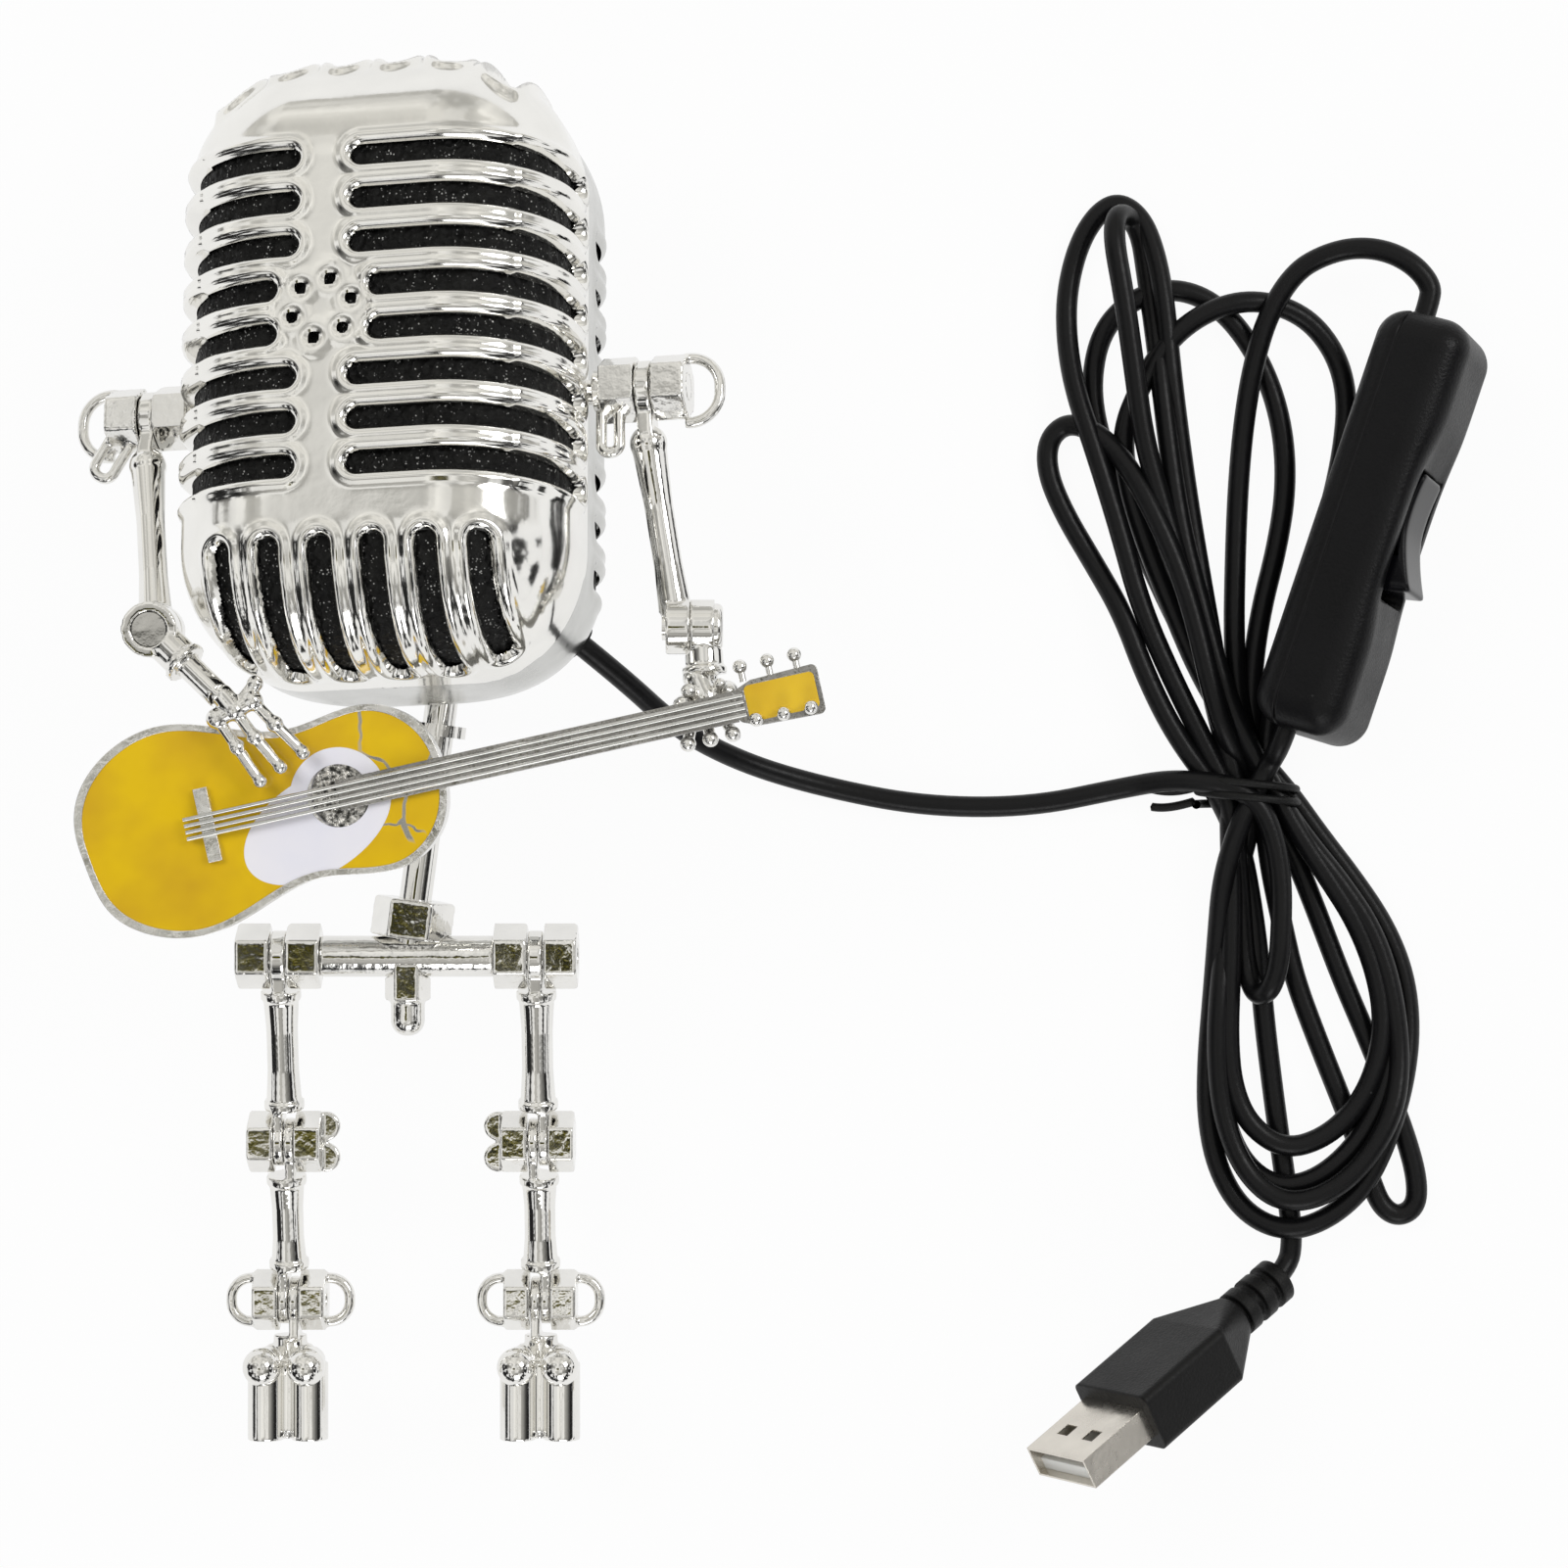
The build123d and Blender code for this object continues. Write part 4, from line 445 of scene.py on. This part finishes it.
def makeCable(name, points, body):
    # One open spline through listed points, thick as the jacket.
    curve = bpy.data.curves.new(name, "CURVE")
    curve.dimensions = "3D"
    curve.bevel_depth = cable["diameter"] / 2 * mm
    curve.bevel_resolution = 6
    curve.resolution_u = 8
    curve.use_fill_caps = True
    line = curve.splines.new("NURBS")
    line.points.add(len(points) - 1)
    for point, place in zip(line.points, points):
        point.co = (*[c * mm for c in place], 1)
    line.order_u = 3
    line.use_endpoint_u = True
    curve.materials.append(jacket)
    made = bpy.data.objects.new(name, curve)
    bpy.context.collection.objects.link(made)
    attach(made, body)
    return made


toSwitch = makeCable("cableToSwitch", cable["toSwitch"], "head")
toPlug = makeCable("cableToPlug", cable["toPlug"], "head")
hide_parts("cord_lead", "cord_switch_in")
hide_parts("cord_switch_out", "cord_tail", "cord_hank")
print("cables done")


def meshPiece(name, points, faces, look, body):
    # A smooth piece from an array of points in millimetres and an array of quads.
    mesh = bpy.data.meshes.new(name)
    mesh.vertices.add(len(points))
    mesh.vertices.foreach_set("co", (np.asarray(points, float) * mm).ravel())
    faces = np.asarray(faces)
    mesh.loops.add(faces.size)
    mesh.loops.foreach_set("vertex_index", faces.ravel())
    mesh.polygons.add(len(faces))
    mesh.polygons.foreach_set("loop_start", np.arange(0, faces.size, faces.shape[1]))
    mesh.update(calc_edges=True)
    mesh.validate()
    mesh.polygons.foreach_set("use_smooth", np.full(len(mesh.polygons), True))
    mesh.materials.append(look)
    made = bpy.data.objects.new(name, mesh)
    bpy.context.collection.objects.link(made)
    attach(made, body)
    return made


def gridFaces(rows, columns, closed=False):
    # Quads of a grid whose points are numbered row by row; a closed one joins the last column to the first.
    r, c = np.meshgrid(np.arange(rows - 1), np.arange(columns if closed else columns - 1), indexing="ij")
    r2, c2 = r + 1, (c + 1) % columns
    return np.stack([r * columns + c, r * columns + c2, r2 * columns + c2, r2 * columns + c], -1).reshape(-1, 4)


weldDistance = 0.0004 * mm


def merge(made):
    # Joins doubled points and makes the faces look outwards.
    work = bmesh.new()
    work.from_mesh(made.data)
    bmesh.ops.remove_doubles(work, verts=work.verts, dist=weldDistance)
    bmesh.ops.recalc_face_normals(work, faces=work.faces)
    work.to_mesh(made.data)
    work.free()


def soften(made, rounds):
    # Takes the last facets off by a few rounds of smoothing.
    modifier = made.modifiers.new("soften", "SMOOTH")
    modifier.factor, modifier.iterations = 0.5, rounds


def runTogether(made, voxel, rounds):
    # Makes one skin over the parts of a piece, as in a casting, and softens it.
    modifier = made.modifiers.new("cast", "REMESH")
    modifier.mode, modifier.voxel_size, modifier.use_smooth_shade = "VOXEL", voxel * mm, True
    soften(made, rounds)


def moved(points, matrix):
    # Points of a piece's own frame in the shared one.
    matrix = np.array(matrix)
    return points @ matrix[:3, :3].T + matrix[:3, 3]


head = {
    "width": 54.0, "height": 84.0, "depth": 50.0, "corner": 17.0, "end": 18.0, "split": 1.0,
    "place": (-6.34, 49.77, 31.4045), "turn": (12.0, 10.0, 2.5),
    "rows": 8, "pitch": 5.9, "top": 24.3, "slot": 3.3, "bar": 3.2,
    "badgeX": -3.5, "badgeRows": (3, 4), "badgeGap": 2.6, "badgeRadius": 6.4,
    "holes": 6, "holeRing": 4.0, "holeRadius": 1.15,
    "ends": 6,  # slots in the chin and in the crown
    "chinPitch": 6.9, "chinFrom": 26.0, "chinWidth": 3.2,
    "crownPitch": 7.0, "crownFrom": 29, "crownRun": (-13, 17.2), "crownWidth": 4.0,
    "backRows": (20.0, 13.4, 6.8, -12.6, -19.2, -25.8), "backFrom": 4,
    "cell": 0.35, "inset": 0.9, "lip": 0.62, "lipWidth": 0.62, "lipOut": 0.75, "rimIn": -0.42,
    # how much of a rim is left round the badge, on the crown, on the face (from, to, half width) and on the back
    "rimBadge": 0.25, "rimCrown": 1.5, "rimFace": 0.55, "face": (-23, 30, 21), "rimBack": 0.4, "backSunk": 0.3,
    "chinLoss": 0.35,
    "girth": 178.8, "shrink": 0.86, "capLength": 11,
    "foamCell": 0.8, "foamInset": 2.3,
}
badgeY = head["top"] - 3.5 * head["pitch"]
far = 99.0  # beyond every edge of the head
headMatrix = (Matrix.Translation(head["place"]) @ Matrix.Rotation(math.radians(head["turn"][2]), 4, "Z")
              @ Matrix.Rotation(math.radians(-head["turn"][1]), 4, "Y")
              @ Matrix.Rotation(math.radians(-head["turn"][0]), 4, "X"))


def stadium(along, across, start, end, width):
    # Distance to a slot with round ends: from a run between two centres, less half the width.
    half = width / 2
    over = np.clip(along, start + half, end - half)
    return np.hypot(along - over, across) - half


def slotDistance(x, y, z):
    # Distance to the nearest opening of the shells, less than nothing inside one.
    best = np.full(x.shape, far)
    for row in range(head["rows"]):
        y0 = head["top"] - row * head["pitch"]
        inner = head["bar"] + (head["badgeGap"] if row in head["badgeRows"] else 0)
        for side in (1, -1):
            start = side * head["badgeX"] + inner
            face = stadium(side * x, y - y0, start, far, head["slot"])
            wrap = stadium(z, y - y0, head["split"] + 3.0, far, head["slot"])
            best = np.minimum(best, np.maximum(face, wrap))
    for hole in range(head["holes"]):
        turn = 2 * math.pi * (hole + 0.25) / head["holes"]
        x0, y0 = head["badgeX"] + head["holeRing"] * math.cos(turn), badgeY + head["holeRing"] * math.sin(turn)
        best = np.minimum(best, np.where(z > 0, np.hypot(x - x0, y - y0) - head["holeRadius"], far))
    for slot in range(head["ends"]):
        place = slot - (head["ends"] - 1) / 2
        x0 = place * head["chinPitch"]
        face = stadium(-y, x - x0, head["chinFrom"], far, head["chinWidth"])
        under = stadium(z, x - x0, head["split"] + 6, far, head["chinWidth"])
        best = np.minimum(best, np.where(y < 0, np.maximum(face, under), far))
        crown = stadium(z, x - place * head["crownPitch"], *head["crownRun"], head["crownWidth"])
        best = np.minimum(best, np.where(y > head["crownFrom"], np.maximum(crown, head["crownFrom"] - y), far))
    for y0 in head["backRows"]:
        for side in (1, -1):
            face = stadium(side * x, y - y0, head["backFrom"], far, head["slot"])
            wrap = stadium(-z, y - y0, head["backFrom"], far, head["slot"])
            best = np.minimum(best, np.maximum(face, wrap))
    return best


def headSurface(inset, cell):
    # Rounded rectangle sections stacked along the head, shrinking over both ends in a quarter turn.
    half, end = head["height"] / 2 - inset, head["end"] - inset
    flat = half - end
    straight = np.linspace(-flat, flat, max(3, round(2 * flat / cell)))
    angle = np.linspace(0, math.pi / 2, max(3, round(end * 1.5 / cell)))[1:]
    y = np.concatenate([-flat - end * np.sin(angle[::-1]), straight, flat + end * np.sin(angle)])
    shrink = end * head["shrink"] * np.concatenate([1 - np.cos(angle[::-1]), 0 * straight, 1 - np.cos(angle)])
    caps = np.linspace(0.98, 0.02, max(4, round(head["capLength"] / cell)))
    scale = np.concatenate([caps[::-1], np.ones(len(y)), caps])
    pad = len(caps)
    y, shrink = np.pad(y, pad, "edge"), np.pad(shrink, pad, "edge")
    w, d = head["width"] / 2 - inset - shrink, head["depth"] / 2 - inset - shrink
    c = np.maximum(head["corner"] - inset - shrink * 0.55, 2.0)
    around = max(48, 4 * round(head["girth"] / cell / 4))
    s = np.arange(around) / around * 4
    quarter, part = np.floor(s).astype(int), s - np.floor(s)
    # each quarter starts in the middle of a side: half a side, the corner's arc, half the next side
    wide, deep, c = w[:, None], d[:, None], c[:, None]
    turned = quarter % 2 == 1
    a, b = np.where(turned, deep, wide), np.where(turned, wide, deep)
    first, arc, last = b - c, c * math.pi / 2, a - c
    run = part * (first + arc + last)
    phi = np.clip((run - first) / c, 0, math.pi / 2)
    p = a - c + c * np.cos(phi) - np.clip(run - first - arc, 0, None)
    q = np.clip(run, 0, first) + c * np.sin(phi)
    x = np.choose(quarter, [p, -q, -p, q]) * scale[:, None]
    z = np.choose(quarter, [q, p, -q, -p]) * scale[:, None]
    return x, np.repeat(y[:, None], around, 1), z


def surfaceNormals(p):
    # Cross product of the two directions of the grid, looking outwards.
    along = np.gradient(p, axis=0)
    around = np.roll(p, -1, 1) - np.roll(p, 1, 1)
    n = np.cross(along, around)
    n /= np.maximum(np.linalg.norm(n, axis=-1, keepdims=True), 1e-9)
    middle = len(n) // 2
    return -n if (n[middle, 0] * p[middle, 0]).sum() < 0 else n


def makeShells():
    # Both shells from one surface: openings cut along its grid, with rims raised round them.
    x, y, z = headSurface(head["inset"], head["cell"])
    p = np.stack([x, y, z], -1)
    n = surfaceNormals(p)
    # points within half a cell of a slot's edge slide onto it along the surface
    step = 0.02
    d = slotDistance(x, y, z)
    for target in (0.0, head["rimIn"]):
        g = np.stack([slotDistance(x + step, y, z) - d, slotDistance(x, y + step, z) - d,
                      slotDistance(x, y, z + step) - d], -1) / step
        g -= n * (g * n).sum(-1, keepdims=True)
        size = np.maximum((g * g).sum(-1, keepdims=True), 0.2)
        near = (np.abs(d - target) < head["cell"] * 0.52)[..., None]
        p = p - near * g * (d - target)[..., None] / size
        x, y, z = p[..., 0], p[..., 1], p[..., 2]
        d = slotDistance(x, y, z)
    # the rim rises to its crest, falls off to both sides and runs steeply inwards at the opening
    lip = head["lip"] * np.exp(-((d - head["lipOut"]) / head["lipWidth"]) ** 2)
    brink = head["lip"] * math.exp(-(0.65 / head["lipWidth"]) ** 2)
    lip = np.where(d < 0.1, brink - np.clip(0.1 - d, 0, 1) * 3.4, lip)
    badge = np.hypot(x - head["badgeX"], y - badgeY)
    onFace = z > 10
    lip = np.where(onFace & (badge < head["badgeRadius"]), lip * head["rimBadge"], lip)
    lip = np.where(y > head["crownFrom"] + 2, lip * head["rimCrown"], lip)
    low, high, side = head["face"]
    lip = np.where(onFace & (y < high) & (y > low) & (np.abs(x) < side), lip * head["rimFace"], lip)
    chin = np.clip((low + 1 - y) / 3, 0, 1)
    front = lip * (1 - head["chinLoss"] * chin)
    lip = np.where(z > head["split"], front, lip * head["rimBack"] - head["backSunk"])
    p = p + n * lip[..., None]
    keep = d > head["rimIn"] - 0.02
    points = moved(p.reshape(-1, 3), headMatrix)
    faces = gridFaces(*d.shape, closed=True)
    inside = keep.ravel()[faces].all(1)
    middle = z.ravel()[faces].mean(1)
    # the rear shell takes the darker chrome as painted shade on the downward half; the front keeps the bright chrome
    for name, chosen, look, node in (("grilleFront", middle > head["split"], castChrome, "front_shell"),
                                     ("grilleBack", middle <= head["split"], satinChromePaintedShade, "rear_shell")):
        picked = faces[inside & chosen]
        used, back = np.unique(picked, return_inverse=True)
        shell = meshPiece(name, points[used], back.reshape(-1, 4), look, "head")
        soften(shell, 3)
        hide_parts(node)
        print(name, len(picked))


def makeFoam():
    # The same form further in, lumpy by a sum of waves.
    x, y, z = headSurface(head["foamInset"], head["foamCell"])
    p = np.stack([x, y, z], -1)
    lump = 0.12 * (np.sin(x * 3.1 + y * 1.7) * np.sin(y * 2.9 - z * 2.3) + np.sin(z * 3.7 + x * 2.2))
    p = p + surfaceNormals(p) * lump[..., None]
    points = moved(p.reshape(-1, 3), headMatrix)
    made = meshPiece("foamLiner", points, gridFaces(*x.shape, closed=True), foam, "head")
    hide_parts("liner_front", "liner_rear")


makeShells()
makeFoam()
print("head done")


def sweepRound(path, radii, sides=20):
    # Tube round a path: rings square to its run, with half ball ends when the radii say so.
    path, radii = np.asarray(path, float), np.asarray(radii, float)
    run = np.gradient(path, axis=0)
    run /= np.linalg.norm(run, axis=1, keepdims=True)
    aside = np.cross(run, (0.13, 0.21, 0.97))
    aside /= np.linalg.norm(aside, axis=1, keepdims=True)
    up = np.cross(run, aside)
    turn = np.arange(sides) / sides * 2 * math.pi
    ring = aside[:, None] * np.cos(turn)[None, :, None] + up[:, None] * np.sin(turn)[None, :, None]
    return (path[:, None] + ring * radii[:, None, None]).reshape(-1, 3), gridFaces(len(path), sides, closed=True)


def capsule(start, end, radius, sides=18):
    # Round bar with ball ends: the radius follows a quarter circle at both ends.
    start, end = np.asarray(start, float), np.asarray(end, float)
    length = max(np.linalg.norm(end - start), 0.01)
    way = (end - start) / length if length > 0.011 else np.array([1.0, 0.0, 0.0])
    turn = np.linspace(0.06, math.pi / 2, 7)
    at = np.concatenate([-radius * np.cos(turn), length + radius * np.cos(turn[::-1])])
    thick = np.concatenate([radius * np.sin(turn), radius * np.sin(turn[::-1])])
    return sweepRound(start + at[:, None] * way, thick, sides)


def joined(parts):
    # Points and faces of several parts in one array each.
    points, faces, count = [], [], 0
    for p, f in parts:
        points.append(p)
        faces.append(f + count)
        count += len(p)
    return np.concatenate(points), np.concatenate(faces)


def onGuitar(u, v, z):
    # A place along and across the guitar.
    cos, sin = math.cos(guitarTurn), math.sin(guitarTurn)
    return (guitar["x"] + u * cos - v * sin, guitar["y"] + u * sin + v * cos, z)


def fingerTip(finger, across, z):
    # The right hand's fingertips stand three millimetres apart along the neck.
    return onGuitar(80.0 + finger * 3, across, z)


hands = {
    "left": [  # start, end, radius: wrist, knuckles, three fingers of two joints, thumb
        ((-27.5, 8.6, 47.9), (-25.9, 6.7, 48.0), 1.5), ((-28.2, 5.6, 48.1), (-23.6, 7.9, 48.1), 1.2),
        ((-28.2, 5.6, 48.1), (-28.2, 5.6, 48.1), 1.4), ((-25.9, 6.7, 48.2), (-25.9, 6.7, 48.2), 1.4),
        ((-23.6, 7.9, 48.1), (-23.6, 7.9, 48.1), 1.4),
        ((-28.2, 5.6, 48.0), (-25.6, 1.9, 48.1), 0.8), ((-25.6, 1.9, 48.1), (-22.7, -2.4, 47.5), 0.8),
        ((-25.9, 6.7, 48.0), (-23.3, 3.2, 48.1), 0.8), ((-23.3, 3.2, 48.1), (-20.1, -0.6, 47.5), 0.8),
        ((-23.6, 7.9, 48.0), (-20.7, 4.9, 48.1), 0.8), ((-20.7, 4.9, 48.1), (-17.2, 1.3, 47.5), 0.8),
        ((-25.6, 1.9, 48.1), (-25.6, 1.9, 48.1), 1.12), ((-23.3, 3.2, 48.1), (-23.3, 3.2, 48.1), 1.12),
        ((-20.7, 4.9, 48.1), (-20.7, 4.9, 48.1), 1.12),
        ((-22.7, -2.4, 47.6), (-22.7, -2.4, 47.6), 0.98), ((-20.1, -0.6, 47.6), (-20.1, -0.6, 47.6), 0.98),
        ((-17.2, 1.3, 47.6), (-17.2, 1.3, 47.6), 0.98),
        ((-25.0, 7.9, 48.0), (-23.4, 10.0, 47.8), 0.85), ((-23.3, 10.1, 47.8), (-23.3, 10.1, 47.8), 1.1)],
    "right": [(onGuitar(80.6, 1.6, 41.0), onGuitar(86.4, 2.2, 41.0), 1.6),
              ((33.6, 11.0, 40.6), onGuitar(83.5, 2.2, 41.0), 1.9),
              (onGuitar(81.6, 3.2, 43.4), onGuitar(82.2, 2.6, 41.4), 0.85),
              (onGuitar(81.6, 3.35, 44.2), onGuitar(81.6, 3.35, 44.2), 1.05),
              (onGuitar(85.8, 3.4, 43.0), onGuitar(85.6, 2.4, 41.4), 0.8)]
             + [(onGuitar(81.5 + f * 1.6, 0.6, 41.2), fingerTip(f, -3.2, 41.5), 0.8) for f in range(3)]
             + [(fingerTip(f, -3.3, 41.5), fingerTip(f, -3.3, 44.4), 0.8) for f in range(3)]
             + [(fingerTip(f, -3.35, z), fingerTip(f, -3.35, z), 1.05) for f in range(3) for z in (41.9, 44.6)],
    "voxel": 0.17, "smooth": 3,
}


def makeHand(side, body):
    # Bars and balls run together as in a casting.
    points, faces = joined([capsule(*bar) for bar in hands[side]])
    made = meshPiece(side + "CastHand", points, faces, chrome, body)
    runTogether(made, hands["voxel"], hands["smooth"])
    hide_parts(side + "_hand")


tie = {"x": 109.95, "y": -3.9, "z": 4.85, "wide": 7.0, "high": 4.1, "wire": 0.62, "turns": 2.3, "rise": 1.9,
       "tails": [((102.9, -3.2, 4.4), (100.2, -4.2, 4.0), (97.6, -4.0, 3.4), (95.8, -3.2, 3.2)),
                 ((102.9, -5.2, 4.2), (100.4, -6.0, 3.6), (98.4, -6.4, 3.0), (96.6, -6.0, 2.6))]}


def makeTie():
    # Coated wire wound round the strands: an oval spiral that climbs a little each turn, and two cut ends.
    turn = np.linspace(0, tie["turns"] * 2 * math.pi, 260)
    wobble = 0.16 * np.sin(turn * 1.7 + 0.6)
    path = np.stack([tie["x"] + (tie["wide"] + wobble) * np.cos(turn + math.pi),
                     tie["y"] + tie["rise"] * (turn / 2 / math.pi - tie["turns"] / 2) + 0.35 * np.cos(turn),
                     tie["z"] + (tie["high"] + wobble) * np.sin(turn + math.pi)], -1)
    parts = [sweepRound(path, np.full(len(path), tie["wire"]), 12)]
    for tail in tie["tails"]:
        t = np.linspace(0, 1, 24)[:, None]
        a, b, c, d = [np.array(q) for q in tail]
        bend = a * (1 - t) ** 3 + 3 * b * t * (1 - t) ** 2 + 3 * c * t * t * (1 - t) + d * t ** 3
        radii = np.full(24, tie["wire"])
        radii[0] = radii[-1] = 0.02
        parts.append(sweepRound(bend, radii, 12))
    made = meshPiece("twistedTie", *joined(parts), softBlack, "head")
    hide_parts("twist_tie")


switch = {"place": (120.86, 34.37, 8.2068), "turn": -18.5, "roll": 65.0, "thick": 13.5, "pivot": 4.0,
          "length": 16.6, "width": 9.0, "rim": 5.0, "dip": 3.3, "dish": 1.6, "keel": -1.9, "tilt": -10.0, "round": 0.8,
          "case": (9.0, 30.0, 6.75), "caseRound": 4.3, "seam": 4.0, "seamHalf": 0.3, "cell": 0.4,
          "mouth": (4.9, 8.9), "mouthDeep": 5.5, "scoop": (7.4, 12.5), "scoopDeep": 1.5}
switchMatrix = (Matrix.Translation(switch["place"]) @ Matrix.Rotation(math.radians(switch["turn"]), 4, "Z")
                @ Matrix.Rotation(math.radians(switch["roll"]), 4, "Y"))


def makeRocker():
    # Dished rocker: an outline in the long plane, drawn in near both flanks so that the edges are round.
    half, low = switch["length"] / 2, switch["keel"]
    y = np.linspace(-half, half, 41)
    top = switch["dip"] + (switch["rim"] - switch["dip"]) * np.abs(y / half) ** switch["dish"]
    below = [(half, 0.5), (half * 0.8, low), (0, low - 0.3), (-half * 0.8, low), (-half, 0.5)]
    outline = np.concatenate([np.stack([y, top], -1), below, [(y[0], top[0])]])
    run = np.concatenate([[0], np.cumsum(np.hypot(*np.diff(outline, axis=0).T))])
    even = np.linspace(0, run[-1], 121)[:-1]
    outline = np.column_stack([np.interp(even, run, outline[:, k]) for k in (0, 1)])
    centre = np.array([0.0, 1.2])
    across = switch["width"] / 2 * np.sin(np.linspace(-math.pi / 2, math.pi / 2, 25))
    edge = switch["width"] / 2 - np.abs(across)
    inset = switch["round"] * (1 - np.sqrt(1 - np.clip(1 - edge / switch["round"], 0, 1) ** 2))
    scale = 1 - inset / 6
    # a tiny outline closes either flank
    across = np.concatenate([across[:1], across, across[-1:]])
    scale = np.concatenate([[0.02], scale, [0.02]])
    points = np.concatenate([np.column_stack([np.full(len(outline), x), (outline - centre) * k + centre])
                             for x, k in zip(across, scale)])
    pivot = Matrix.Translation((0, 0, switch["thick"] - switch["pivot"]))
    tilt = Matrix.Rotation(math.radians(switch["tilt"]), 4, "X")
    faces = gridFaces(len(across), len(outline), closed=True)
    made = meshPiece("dishedRocker", moved(points, switchMatrix @ (pivot @ tilt)), faces, glossPlastic, "switch_rocker")
    merge(made)
    soften(made, 10)
    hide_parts("rocker")


def makeSwitchCase():
    # Rounded block: points of a gridded box pulled in to the core and pushed out again by the radius.
    half, r = np.array(switch["case"]), switch["caseRound"]
    lines = [np.linspace(-h, h, max(4, round(2 * h / switch["cell"]))) for h in half]
    joint = switch["seam"] - half[2]
    seam = joint + np.array([-switch["seamHalf"], -0.14, 0.0, 0.14, switch["seamHalf"]])
    lines[2] = np.sort(np.concatenate([lines[2][np.abs(lines[2] - joint) > switch["seamHalf"] + 0.05], seam]))
    parts = []
    for axis in range(3):
        others = [k for k in range(3) if k != axis]
        a, b = np.meshgrid(lines[others[0]], lines[others[1]], indexing="ij")
        for side in (-1, 1):
            p = np.empty((a.size, 3))
            p[:, axis], p[:, others[0]], p[:, others[1]] = side * half[axis], a.ravel(), b.ravel()
            parts.append((p, gridFaces(*a.shape)))
    p, faces = joined(parts)
    core = np.clip(p, -(half - r), half - r)
    way = p - core
    way /= np.linalg.norm(way, axis=1, keepdims=True)
    fromSeam = np.abs(p[:, 2] - joint)[:, None]
    p = core + way * r
    p[:, :2] *= 1 - 0.2 / half[0] * np.clip(1 - fromSeam / 0.2, 0, 1)
    # a shallow scoop runs into the rocker's mouth
    x, y, z = p.T
    upper = np.clip(way[:, 2], 0, 1)
    scoop = switch["scoopDeep"] * np.exp(-((x / switch["scoop"][0]) ** 4 + (y / switch["scoop"][1]) ** 4))
    edge = np.maximum(np.abs(x) - switch["mouth"][0], np.abs(y) - switch["mouth"][1])
    p[:, 2] = z - upper * (scoop + switch["mouthDeep"] * np.clip(0.25 - edge, 0, 0.5) * 2) + half[2]
    made = meshPiece("switchCase", moved(p, switchMatrix), faces, blackPlastic, "head")
    merge(made)
    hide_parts("switch_lower", "switch_upper")
    return made


castings = {
    "voxel": 0.22, "smooth": 3,
    "names": ["right_wing_nut", "left_wing_nut", "hip_nut", "hip_bar", "tail_bolt", "hip_nuts"]
             + [side + part for side in ("right_", "left_") for part in (
                 "upper_arm", "forearm", "thigh", "shin", "foot", "knee_bolt", "knee_wing_nut", "ankle_bolt",
                 "ankle_wing_nut")],
}


def makeCast(name, look):
    # The piece's own form with its facets run together and its edges rounded, as under a thick plating.
    source = nodes[name]
    mesh = source.data.copy()
    mesh.name = name + "Cast"
    mesh.transform(source.matrix_world)
    mesh.materials.clear()
    mesh.materials.append(look)
    made = bpy.data.objects.new(name + "Cast", mesh)
    bpy.context.collection.objects.link(made)
    merge(made)
    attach(made, source["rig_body"])
    runTogether(made, castings["voxel"], castings["smooth"])
    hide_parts(name)


for name in castings["names"]:
    makeCast(name, castNut if any(word in name for word in ("nut", "bolt", "bar")) else roundChrome)
makeHand("left", "left_lower_arm")
makeHand("right", "right_arm")
makeTie()
makeRocker()
switchCase = makeSwitchCase()
print("castings, hands, tie, switch and cords done")


finishes = {
    chrome: ["shoulder_bolts", "shoulder_inner_nuts"],
    roundChrome: ["neck_washer", "spine_rod", "tuners", "right_elbow_screw", "left_elbow_screw"],
    guitarCast: ["guitar_body"], neckCast: ["guitar_neck"],
    satinChromePaintedShade: ["guitar_strings"],
    steel: ["head_screws"],
    boardWhite: ["led_board"], chipYellow: ["led_chips"], frosted: ["diffuser"],
    softBlack: ["cable_grommet", "plug_overmold"],
    yellowEnamel: ["guitar_enamel"], whiteEnamel: ["pickguard"], plainYellow: ["headstock_enamel"],
    nickel: ["usb_shell"], tongueWhite: ["usb_tongue"],
}
for look, names in finishes.items():
    for name in names:
        for spot in nodes[name].material_slots:
            spot.material = look
print("finishes done")
